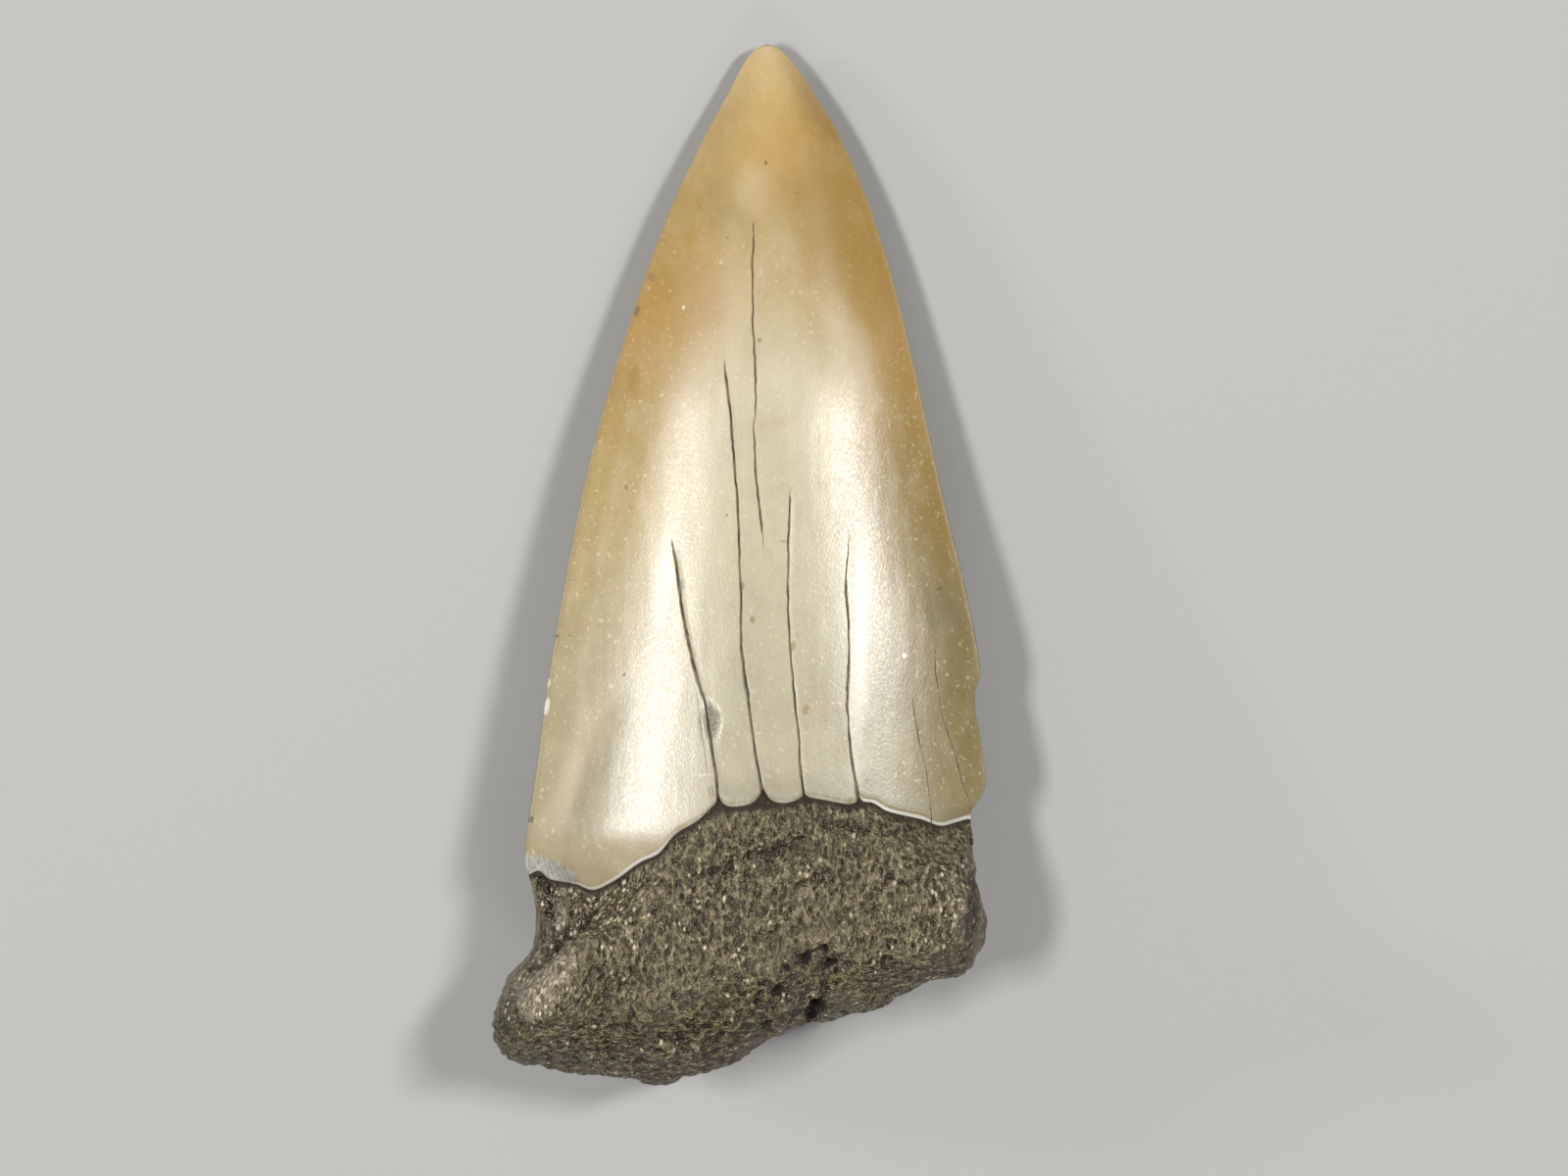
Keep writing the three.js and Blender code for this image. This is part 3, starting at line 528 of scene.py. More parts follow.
def crown_rows():
    """Shares of the depth: rows crowd towards the tip, and a few follow the enamel border."""
    steps = CROWN_ROWS - RIM_ROWS
    t = np.arange(1, steps + 1) / steps
    rim = RIM_WIDTH / RIGHT_EDGE_END
    body = t * (1 - 0.3 * (1 - t) ** 2) * (1 - rim)
    return np.concatenate([body, 1 - rim * (1 - np.arange(1, RIM_ROWS + 1) / RIM_ROWS)])


def root_row(t):
    return np.sin((0.25 * t * t + 0.75 * t) * math.pi / 2)


def base_share(t):
    return lerp(t, 0.5 - 0.5 * np.cos(t * math.pi), 0.55)


def enamel_ends(face):
    share = column_shares(face, [crack.bottom for crack in face.cracks], 0.2)
    depth = np.full_like(share, RIGHT_EDGE_END)
    for _ in range(8):
        depth = face.enamel_depth(lerp(left_x(depth), right_x(depth), share))
    return share, depth, lerp(left_x(depth), right_x(depth), share)


def crown_grid(face):
    share, end_depth, _ = enamel_ends(face)
    rows = crown_rows()
    depth = rows[:, None] * end_depth[None, :]
    shares = np.stack([
        column_shares(face, [row * crack.bottom for crack in face.cracks], 0.2) for row in rows])
    shares[-1] = share
    x = lerp(left_x(depth), right_x(depth), shares)
    height = face.crown(x, depth)
    above = end_depth[None, :] - depth
    inner = np.minimum(1, height / 0.3)
    height -= RIM_ROUNDING * np.maximum(0, 1 - above / RIM_WIDTH) ** 2 * inner
    chip = np.zeros_like(x)
    bevel = np.zeros_like(x)
    if face is LABIAL:
        chip = chip_share(x, depth)
        height -= CHIP_DEPTH * chip
        below_line = depth - bevel_depth(x)
        bevel = ease(0, 0.06, below_line) * ease(BEVEL_END + 0.1, BEVEL_END - 0.05, x)
        height -= np.minimum(bevel * (BEVEL_DROP + BEVEL_SLOPE * np.maximum(below_line, 0)), height * 0.6)
    crack_mask = np.zeros_like(x)
    crease = np.zeros(x.shape, int)
    for crack, column in zip(face.cracks, face.crack_columns()):
        strength = crack.strength(depth[:, column])
        groove = strength * ease(*CRACK_DEEPENS, strength)
        for step, (profile, shade) in enumerate(zip(CRACK_PROFILE, CRACK_SHADE)):
            at = column + step - 2
            height[:, at] += profile * groove
            crack_mask[:, at] = shade * np.minimum(1, CRACK_DARKNESS * strength)
        height[:, column + 2] += CRACK_LIP * groove
        for at in (column - 2, column + 2):
            crease[:, at] = np.where(strength > CREASE_FROM, at + 1, 0)
    height[:, 0] = 0
    height[:, -1] = 0
    return x, depth, height, {"crack": crack_mask, "below": -above, "chip": chip, "bevel": bevel}, crease


def root_grid(face):
    share, end_depth, end_x = enamel_ends(face)
    last = len(share) - 1
    down = root_row(np.arange(ROOT_ROWS + 1) / ROOT_ROWS)[:, None]
    left_depth = lerp(LEFT_EDGE_END + LEDGE_WIDTH, LEFT_CORNER, down)
    right_depth = lerp(RIGHT_EDGE_END + LEDGE_WIDTH, RIGHT_CORNER, down)
    even = base_share(np.arange(last + 1) / last)
    shares = lerp(share[None, :], even[None, :], down)
    base_x = lerp(BASE_BORDER[0][0], BASE_BORDER[-1][0], even)
    left_pull = left_x(left_depth) - lerp(end_x[0], base_x[0], down)
    right_pull = right_x(right_depth) - lerp(end_x[-1], base_x[-1], down)
    x = lerp(end_x[None, :], base_x[None, :], down) + (1 - shares) * left_pull + shares * right_pull
    depth = lerp(end_depth[None, :] + LEDGE_WIDTH, base_depth(base_x)[None, :], down)
    below = np.maximum(depth - face.root_start(x), LEDGE_WIDTH)
    below[:, 0] = (left_depth - LEFT_EDGE_END)[:, 0]
    below[:, -1] = (right_depth - RIGHT_EDGE_END)[:, 0]
    height = face.height(x, depth, below)
    height[:, 0] = 0
    height[:, -1] = 0
    height[-1] = 0
    below[-1] = 9
    return x, depth, height, below


def face_points(face):
    """All points of one face with what the materials need to know about them."""
    x0, depth0, height0, masks, crease0 = crown_grid(face)
    x1, depth1, height1, below1 = root_grid(face)
    x = np.concatenate([x0, x1])
    depth = np.concatenate([depth0, depth1])
    height = np.concatenate([height0, height1])
    blank = np.zeros_like(x1)
    root_masks = {"crack": blank, "below": below1, "chip": blank, "bevel": blank}
    masks = {name: np.concatenate([masks[name], root_masks[name]]) for name in masks}
    crease = np.concatenate([crease0, blank.astype(int)])
    rim = RIM_CREASE if face is LABIAL else RIM_CREASE + 2
    crease[CROWN_ROWS - 1] = rim
    crease[CROWN_ROWS] = rim + 1
    z = border_height(depth) + face.side * height
    points = np.stack([x, -depth, z], axis=-1)
    return points, masks, crease


def stitched_quads(upper, lower, side):
    """Faces between two rows of vertex numbers. The lower row may be twice as long."""
    ratio = (len(lower) - 1) // (len(upper) - 1)
    faces = []
    for j in range(len(upper) - 1):
        ring = [upper[j], *lower[j * ratio:(j + 1) * ratio + 1], upper[j + 1]]
        if ratio == 2:
            faces.append([ring[0], ring[1], ring[2]])
            faces.append([ring[0], ring[2], ring[4]])
            faces.append([ring[4], ring[2], ring[3]])
        else:
            faces.append(ring)
    return faces if side > 0 else [face[::-1] for face in faces]


def tooth_grid():
    """Points, faces, material of each face, values for the materials, numbers of the sharp lines."""
    labial, labial_masks, labial_crease = face_points(LABIAL)
    lingual, lingual_masks, lingual_crease = face_points(LINGUAL)
    rows = CROWN_ROWS + ROOT_ROWS + 1
    labial_numbers = 1 + np.arange(rows * labial.shape[1]).reshape(rows, -1)
    lingual_numbers = np.zeros(lingual.shape[:2], int)
    inner = lingual_numbers[:-1, 1:-1]
    start = 1 + labial_numbers.size
    lingual_numbers[:-1, 1:-1] = start + np.arange(inner.size).reshape(inner.shape)
    lingual_numbers[:, 0] = labial_numbers[:, 0]
    lingual_numbers[:, -1] = labial_numbers[:, -1]
    lingual_numbers[-1] = labial_numbers[-1, ::2]
    tip = np.array([[TIP_X, 0.0, float(border_height(0.0))]])
    points = np.concatenate([tip, labial.reshape(-1, 3), lingual[:-1, 1:-1].reshape(-1, 3)])
    at_tip = {"crack": 0, "below": -RIGHT_EDGE_END, "chip": 0, "bevel": 0}
    masks = {
        name: np.concatenate([[at_tip[name]], labial_masks[name].ravel(), lingual_masks[name][:-1, 1:-1].ravel()])
        for name in at_tip}
    crease = np.concatenate([[0], labial_crease.ravel(), lingual_crease[:-1, 1:-1].ravel()])
    faces = []
    is_root = []
    for numbers, side in ((labial_numbers, 1), (lingual_numbers, -1)):
        first = numbers[0].tolist()
        for a, b in zip(first[:-1], first[1:]):
            faces.append([0, a, b] if side > 0 else [0, b, a])
            is_root.append(0)
        for k in range(rows - 1):
            lower = numbers[k + 1]
            if side < 0 and k == rows - 2:
                lower = labial_numbers[-1]
            made = stitched_quads(numbers[k].tolist(), lower.tolist(), side)
            faces += made
            is_root += [int(k >= CROWN_ROWS)] * len(made)
    return points, faces, is_root, masks, crease


def vertex_normals(points, faces):
    corners = np.array([[face[0], face[1], face[2]] for face in faces])
    others = np.array([[face[0], face[-2], face[-1]] for face in faces])
    total = np.zeros_like(points)
    for triangle in (corners, others):
        a, b, c = (points[triangle[:, i]] for i in range(3))
        across = np.cross(b - a, c - a)
        for i in range(3):
            np.add.at(total, triangle[:, i], across)
    return total / np.maximum(np.linalg.norm(total, axis=1, keepdims=True), 1e-12)


# Relief of the root's surface

def lump_height(points):
    golden = math.pi * (3 - math.sqrt(5))
    total = np.zeros(len(points))
    for i in range(LUMP_WAVES):
        up = 2 * (i + 0.5) / LUMP_WAVES - 1
        flat = math.sqrt(1 - up * up)
        turn = golden * i
        along = points @ np.array([flat * math.cos(turn), flat * math.sin(turn), up])
        wavelength = lerp(LUMP_SHORTEST, LUMP_LONGEST, ((i * 8) % LUMP_WAVES) / LUMP_WAVES)
        total += np.sin(2 * math.pi * along / wavelength + i * i)
    return LUMP_HEIGHT * total * math.sqrt(2 / LUMP_WAVES)


def layer_share(points):
    """0 in the fibrous upper root, 1 in the layered, lumpy lower root."""
    line = lerp(45.2, 42.3, ease(-9, 6, points[:, 0]))
    return ease(-1.5, 1.3, -points[:, 1] - line + 0.9 * WANDER(points * 0.4))


def fibre_height(points):
    """Upright grain, finer across than along."""
    coarse = GRAIN(points * np.array([2.2, 0.9, 2.2]))
    fine = PEBBLES.cells(points * np.array([3.4, 1.5, 3.4]) + 0.3 * WANDER(points * 1.3)[:, None])
    return 0.06 * coarse + 0.06 * (fine - 0.5)


def layer_height(points):
    """Rows of small rounded lumps that follow the base of the root."""
    x, y, z = points.T
    bend = WANDER(points * 0.45)
    along = x * 0.98 + y * 0.2
    across = y * 0.98 - x * 0.2 + 0.45 * bend
    layered = np.stack([along * 0.9, across * 2.2, z * 1.5], axis=1)
    lumps = PEBBLES.cells(np.stack([along * 1.7, across * 2.7, z * 2.1], axis=1))
    return 0.13 * LAYERS(layered) + 0.19 * (lumps - 0.5)


def slanted(points, centre_x, depth, lean):
    """Offsets from a spot on the root, along and across a line leaning to the right."""
    turn = math.radians(lean)
    across = points[:, 0] - centre_x
    up = points[:, 1] + depth
    return across * math.cos(turn) - up * math.sin(turn), across * math.sin(turn) + up * math.cos(turn)


def pore_depth(points, labial):
    """How deep pores and fissures cut in, and a mask of their dark insides."""
    cut = np.zeros(len(points))
    mask = np.zeros(len(points))
    for pore in PORES + [FORAMEN]:
        centre_x, depth, half_width, half_length, lean, hole = pore
        side = 1 - labial if pore is FORAMEN else labial
        across, up = slanted(points, centre_x, depth, lean)
        shape = np.clip(1.3 - np.hypot(across / half_width, up / half_length), 0, 1) ** 0.7 * side
        cut = np.maximum(cut, hole * shape)
        mask = np.maximum(mask, ease(0.12, 0.4, shape))
    for start, end, width, hole in FISSURES:
        shape = -relief([(start, end, width, -1.0)], points[:, 0], -points[:, 1]) * labial
        cut = np.maximum(cut, hole * shape)
        mask = np.maximum(mask, ease(0.3, 0.8, shape))
    return cut, mask


def pearl_height(points, labial):
    height = np.zeros(len(points))
    for centre_x, depth, radius, rise in PEARLS:
        away = np.hypot(points[:, 0] - centre_x, points[:, 1] + depth) / radius
        height += rise * np.sqrt(np.clip(1 - away ** 2, 0, 1)) * labial
    return height


def add_root_relief(points, faces, masks):
    """Moves the root's points along their normals and adds the masks that follow from it."""
    normals = vertex_normals(points, faces)
    below = masks["below"]
    rootness = ease(0.05, 0.6, below)
    labial = (points[:, 2] >= border_height(-points[:, 1]) - 1e-6).astype(float)
    layers = layer_share(points)
    fine = lerp(fibre_height(points), layer_height(points), layers)
    creases = relief(ROOT_CREASES, points[:, 0], -points[:, 1]) * labial
    pores, pore_mask = pore_depth(points, labial)
    move = lump_height(points) * ease(0.2, 1.6, below)
    move += (fine + creases + pearl_height(points, labial) - pores) * rootness
    masks["pore"] = pore_mask * rootness
    masks["labial"] = labial
    # Painted shade in the low grain and in the creases
    masks["hollow_shade"] = np.clip(0.5 - fine * 4.5 - creases * 2.4, 0, 1)
    masks["layers"] = layers
    return points + normals * move[:, None]


# Placing the tooth like the CAD solid

def resting_tilt(points):
    depth = -points[:, 1]
    root = depth > 36
    crown = depth < 30

    def lowest(tilt, chosen):
        return np.min(depth[chosen] * math.sin(tilt) + points[chosen, 2] * math.cos(tilt))

    level, steep = 0.0, math.pi / 6
    for _ in range(40):
        middle = (level + steep) / 2
        if lowest(middle, root) + ROOT_WEAR < lowest(middle, crown) + CROWN_WEAR:
            level = middle
        else:
            steep = middle
    return (level + steep) / 2


def laid_down(points):
    """The points in metres where the tooth lies, and the turn and shift used."""
    tilt = resting_tilt(points)
    turn = Matrix.Rotation(-tilt, 4, "X")
    turned = points @ np.array(turn.to_3x3()).T
    low, high = turned.min(axis=0), turned.max(axis=0)
    box_low, box_high = (np.array(corner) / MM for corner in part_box("tooth"))
    shift = (box_low + box_high) / 2 - (low + high) / 2
    shift[2] = -low[2] - ROOT_WEAR
    placed = turned + shift
    placed[:, 2] = np.maximum(placed[:, 2], 0)
    place = Matrix.Translation(Vector(shift) * MM) @ turn @ Matrix.Scale(MM, 4)
    return placed * MM, place


# The tooth as an object

def store(mesh, name, values):
    layer = mesh.attributes.new(name, "FLOAT", "POINT")
    layer.data.foreach_set("value", np.asarray(values, np.float32))


def make_tooth(materials):
    points, faces, is_root, masks, crease = tooth_grid()
    masks["across"] = np.clip(2 * share_across(points[:, 0], -points[:, 1]) - 1, -1, 1)
    points = add_root_relief(points, faces, masks)
    placed, place = laid_down(points)
    mesh = bpy.data.meshes.new("tooth_surface")
    mesh.from_pydata(placed.tolist(), [], faces)
    for material in materials:
        mesh.materials.append(material)
    mesh.polygons.foreach_set("material_index", is_root)
    mesh.polygons.foreach_set("use_smooth", [True] * len(faces))
    plane = mesh.attributes.new("plane", "FLOAT_VECTOR", "POINT")
    plane.data.foreach_set("vector", points.astype(np.float32).ravel())
    for name, values in masks.items():
        store(mesh, name, values)
    edges = np.zeros(len(mesh.edges) * 2, int)
    mesh.edges.foreach_get("vertices", edges)
    first, second = crease[edges.reshape(-1, 2)].T
    sharp = mesh.attributes.new("sharp_edge", "BOOLEAN", "EDGE")
    sharp.data.foreach_set("value", (first == second) & (first > 0))
    mesh.update()
    tooth = bpy.data.objects.new("tooth_surface", mesh)
    bpy.context.scene.collection.objects.link(tooth)
    return tooth, place


# Materials

PAINT = 0.77                         # the lights are bright enough to make up for this


def linear(red, green, blue):
    """The paint for a colour that is given in the 0 to 255 values of a screen."""
    parts = []
    for part in (red / 255, green / 255, blue / 255):
        bright = part / 12.92 if part <= 0.04045 else ((part + 0.055) / 1.055) ** 2.4
        parts.append(PAINT * bright)
    return (*parts, 1.0)


class Nodes:
    """Short names for the nodes that the materials need."""

    def __init__(self, name):
        self.material = bpy.data.materials.new(name)
        self.material.use_nodes = True
        self.tree = self.material.node_tree
        self.shader = self.tree.nodes["Principled BSDF"]

    def set(self, socket, value):
        if isinstance(value, bpy.types.NodeSocket):
            self.tree.links.new(value, socket)
        else:
            socket.default_value = value

    def attribute(self, name, output="Fac"):
        node = self.tree.nodes.new("ShaderNodeAttribute")
        node.attribute_name = name
        return node.outputs[output]

    def math(self, operation, first, second=0.0, third=0.0, clamp=False):
        node = self.tree.nodes.new("ShaderNodeMath")
        node.operation = operation
        node.use_clamp = clamp
        for socket, value in zip(node.inputs, (first, second, third)):
            self.set(socket, value)
        return node.outputs[0]

    def stretched(self, vector, scale):
        node = self.tree.nodes.new("ShaderNodeMapping")
        self.set(node.inputs["Vector"], vector)
        node.inputs["Scale"].default_value = scale
        return node.outputs[0]

    def noise(self, vector, scale, detail=2.0, roughness=0.5, distortion=0.0):
        node = self.tree.nodes.new("ShaderNodeTexNoise")
        self.set(node.inputs["Vector"], vector)
        node.inputs["Scale"].default_value = scale
        node.inputs["Detail"].default_value = detail
        node.inputs["Roughness"].default_value = roughness
        node.inputs["Distortion"].default_value = distortion
        return node.outputs["Fac"]

    def cells(self, vector, scale, feature="F1"):
        node = self.tree.nodes.new("ShaderNodeTexVoronoi")
        node.feature = feature
        self.set(node.inputs["Vector"], vector)
        node.inputs["Scale"].default_value = scale
        return node.outputs["Distance"]

    def between(self, value, low, high, to_low=0.0, to_high=1.0):
        node = self.tree.nodes.new("ShaderNodeMapRange")
        node.interpolation_type = "SMOOTHSTEP"
        self.set(node.inputs["Value"], value)
        for name, number in (("From Min", low), ("From Max", high), ("To Min", to_low), ("To Max", to_high)):
            node.inputs[name].default_value = number
        return node.outputs["Result"]

    def ramp(self, value, stops):
        node = self.tree.nodes.new("ShaderNodeValToRGB")
        elements = node.color_ramp.elements
        elements[0].position, elements[0].color = stops[0]
        elements[1].position, elements[1].color = stops[-1]
        for position, colour in stops[1:-1]:
            elements.new(position).color = colour
        self.set(node.inputs["Fac"], value)
        return node.outputs["Color"]

    def mix(self, share, first, second, mode="MIX"):
        node = self.tree.nodes.new("ShaderNodeMix")
        node.data_type = "RGBA"
        node.blend_type = mode
        self.set(node.inputs["Factor"], share)
        self.set(node.inputs["A"], first)
        self.set(node.inputs["B"], second)
        return node.outputs["Result"]

    def bump(self, height, distance, strength=1.0, below=None):
        node = self.tree.nodes.new("ShaderNodeBump")
        node.inputs["Distance"].default_value = distance
        node.inputs["Strength"].default_value = strength
        self.set(node.inputs["Height"], height)
        if below is not None:
            self.set(node.inputs["Normal"], below)
        return node.outputs["Normal"]


CENTRE_COLOURS = [
    (0.00, linear(212, 189, 138)), (0.04, linear(210, 180, 118)), (0.13, linear(202, 167, 94)),
    (0.20, linear(190, 163, 108)), (0.33, linear(201, 178, 132)), (0.45, linear(208, 197, 162)),
    (0.70, linear(202, 192, 158)), (0.85, linear(191, 182, 152)), (1.00, linear(185, 174, 146)),
]
# Colours of the left flank: its own tones, painted lighter as if lit more from the left
LEFT_LIT_COLOURS = [
    (0.00, linear(212, 184, 128)), (0.10, linear(187, 158, 98)), (0.20, linear(180, 150, 84)),
    (0.34, linear(178, 138, 48)), (0.46, linear(175, 141, 56)), (0.60, linear(182, 157, 89)),
    (0.80, linear(178, 163, 124)), (1.00, linear(177, 163, 127)),
]
FLAT = 1000.0                        # a length beside which the height of the tooth is nothing
# Colours of the right flank: its own olive tones, painted darker as painted shade on the side away from the light
RIGHT_SHADED_COLOURS = [
    (0.00, linear(212, 184, 128)), (0.12, linear(174, 139, 62)), (0.30, linear(172, 136, 52)),
    (0.45, linear(172, 137, 52)), (0.62, linear(149, 122, 44)), (0.80, linear(131, 113, 54)),
    (1.00, linear(136, 120, 62)),
]
# Dark of the cracks, also used as a painted shadow beside a pit
CRACK_AND_SHADOW_COLOUR = linear(46, 38, 26)
CRACK_DUST = linear(124, 110, 86)
CHIP_COLOUR = linear(178, 168, 148)
CHIP_DARK = linear(124, 113, 95)
BEVEL_COLOUR = linear(196, 193, 183)
BEVEL_DARK = linear(152, 149, 139)
# Painted highlight of the enamel's lower rim, also the paler strokes on the tabs
RIM_HIGHLIGHT_AND_STROKE_COLOUR = linear(250, 246, 236)
EDGE_COLOUR = linear(132, 116, 78)
OLIVE = linear(118, 98, 46)
OCHRE = linear(168, 124, 6)
# Painted shade along the right edge near the tip
TIP_EDGE_SHADE = linear(128, 98, 56)
RUST = linear(150, 118, 22)
# Colour of the painted glints of the root
GLINT = linear(246, 228, 198)
# Grey stains, also used as painted shade
GREY_STAIN_AND_SHADE = linear(118, 112, 80)
GOLD = linear(200, 154, 80)
# A dark gold tone, also used as painted shade near the tip
DARK_GOLD_AND_SHADE = linear(166, 132, 56)
AMBER = linear(188, 146, 74)
# A pale tone, also used as painted highlight
PALE_TONE_AND_HIGHLIGHT = linear(222, 206, 172)
PINKISH = linear(192, 156, 110)
# White of chips and specks, also used as painted highlight
WHITE_CHIP_AND_HIGHLIGHT = linear(246, 240, 224)

# Soft patches of the labial enamel: x, depth, half width, half length, lean, colour, strength. Most are the
# enamel's own tones; those noted below paint highlight or shade
ENAMEL_PATCHES = [
    # (3.0, 7.9): painted shade that dims the right lamp's highlight near the tip
    (1.3, 5.4, 1.5, 2.0, 0, GOLD, 0.45), (3.0, 7.9, 1.3, 2.2, -20, DARK_GOLD_AND_SHADE, 0.7),
    (4.4, 11.0, 1.5, 2.4, -18, DARK_GOLD_AND_SHADE, 0.45), (-1.5, 7.7, 0.9, 1.2, 0, OLIVE, 0.2),
    (-0.1, 6.7, 0.7, 1.0, 0, PALE_TONE_AND_HIGHLIGHT, 0.3), (-2.4, 11.5, 1.3, 1.8, 0, PINKISH, 0.4),
    (-4.95, 13.4, 1.2, 2.0, 15, AMBER, 0.4), (-0.95, 12.3, 0.5, 2.4, 0, PALE_TONE_AND_HIGHLIGHT, 0.3),
    (5.8, 13.4, 1.3, 2.2, -15, AMBER, 0.45), (8.9, 26.2, 1.3, 1.2, 60, GREY_STAIN_AND_SHADE, 0.45),
    # (-7.95, 34.9) and (-8.7, 34.3): painted shade and painted highlight on either side of the groove at the left
    # foot
    (-7.95, 34.9, 0.6, 2.0, 13, GREY_STAIN_AND_SHADE, 0.35), (-8.7, 34.3, 0.5, 2.3, 22, PALE_TONE_AND_HIGHLIGHT, 0.35),
    (-5.6, 15.6, 0.26, 0.6, 10, OCHRE, 1.0), (-5.5, 16.3, 0.2, 0.25, 0, OCHRE, 0.6),
    # (4.85, 28.3) and (-4.2, 24.6): painted highlights, right of crack E and in the core of the left highlight
    (4.85, 28.3, 0.35, 4.4, 2, WHITE_CHIP_AND_HIGHLIGHT, 0.6), (-4.2, 24.6, 0.4, 2.4, 6, WHITE_CHIP_AND_HIGHLIGHT, 0.4),
    # (4.5, 14.4): painted highlight; (2.9, 2.7): painted shade along the right edge near the tip
    (4.5, 14.4, 0.8, 2.4, -15, PALE_TONE_AND_HIGHLIGHT, 0.5), (2.9, 2.7, 0.6, 2.4, -33, TIP_EDGE_SHADE, 0.3),
    # (-6.5, 33.6): painted shade that narrows the left highlight
    (9.8, 35.1, 0.5, 0.5, 20, GOLD, 0.3), (-6.5, 33.6, 0.6, 3.0, 12, GREY_STAIN_AND_SHADE, 0.32),
    (5.3, 34.4, 0.5, 0.5, 0, GREY_STAIN_AND_SHADE, 0.4), (-0.4, 29.0, 0.9, 4.0, 0, GREY_STAIN_AND_SHADE, 0.08),
]

# Lighter patches of the labial root, as above: worn places, and painted highlights where its lobe and ridges catch
# the light
ROOT_WEAR_AND_HIGHLIGHT_PATCHES = [
    (-9.7, 43.4, 0.8, 1.7, 38, linear(206, 190, 164), 0.58), (-8.8, 40.1, 0.3, 1.2, 0, linear(214, 202, 180), 0.4),
    (-10.3, 44.9, 0.35, 0.5, 30, linear(214, 202, 180), 0.4), (-5.0, 39.6, 0.3, 0.8, 8, linear(176, 158, 132), 0.5),
    (-8.0, 41.6, 0.6, 1.0, 30, linear(150, 138, 112), 0.4), (9.4, 39.9, 0.3, 1.2, -8, linear(164, 158, 134), 0.45),
    (4.4, 44.4, 0.6, 0.9, 20, linear(128, 120, 92), 0.5), (-2.4, 43.0, 2.6, 1.0, 70, linear(110, 100, 76), 0.25),
]

# Where the labial root is glossier and shows more painted glints
GLOSSY_GLINT_SPOTS = [
    ((-9.8, 43.5), 1.2, 2.3, 38, 0.5), ((-8.9, 40.2), 0.9, 2.0, 0, 0.5),
    ((-6.5, 40.0), 2.2, 1.3, 0, 0.38), ((9.0, 39.6), 0.9, 1.6, 0, 0.38),
]

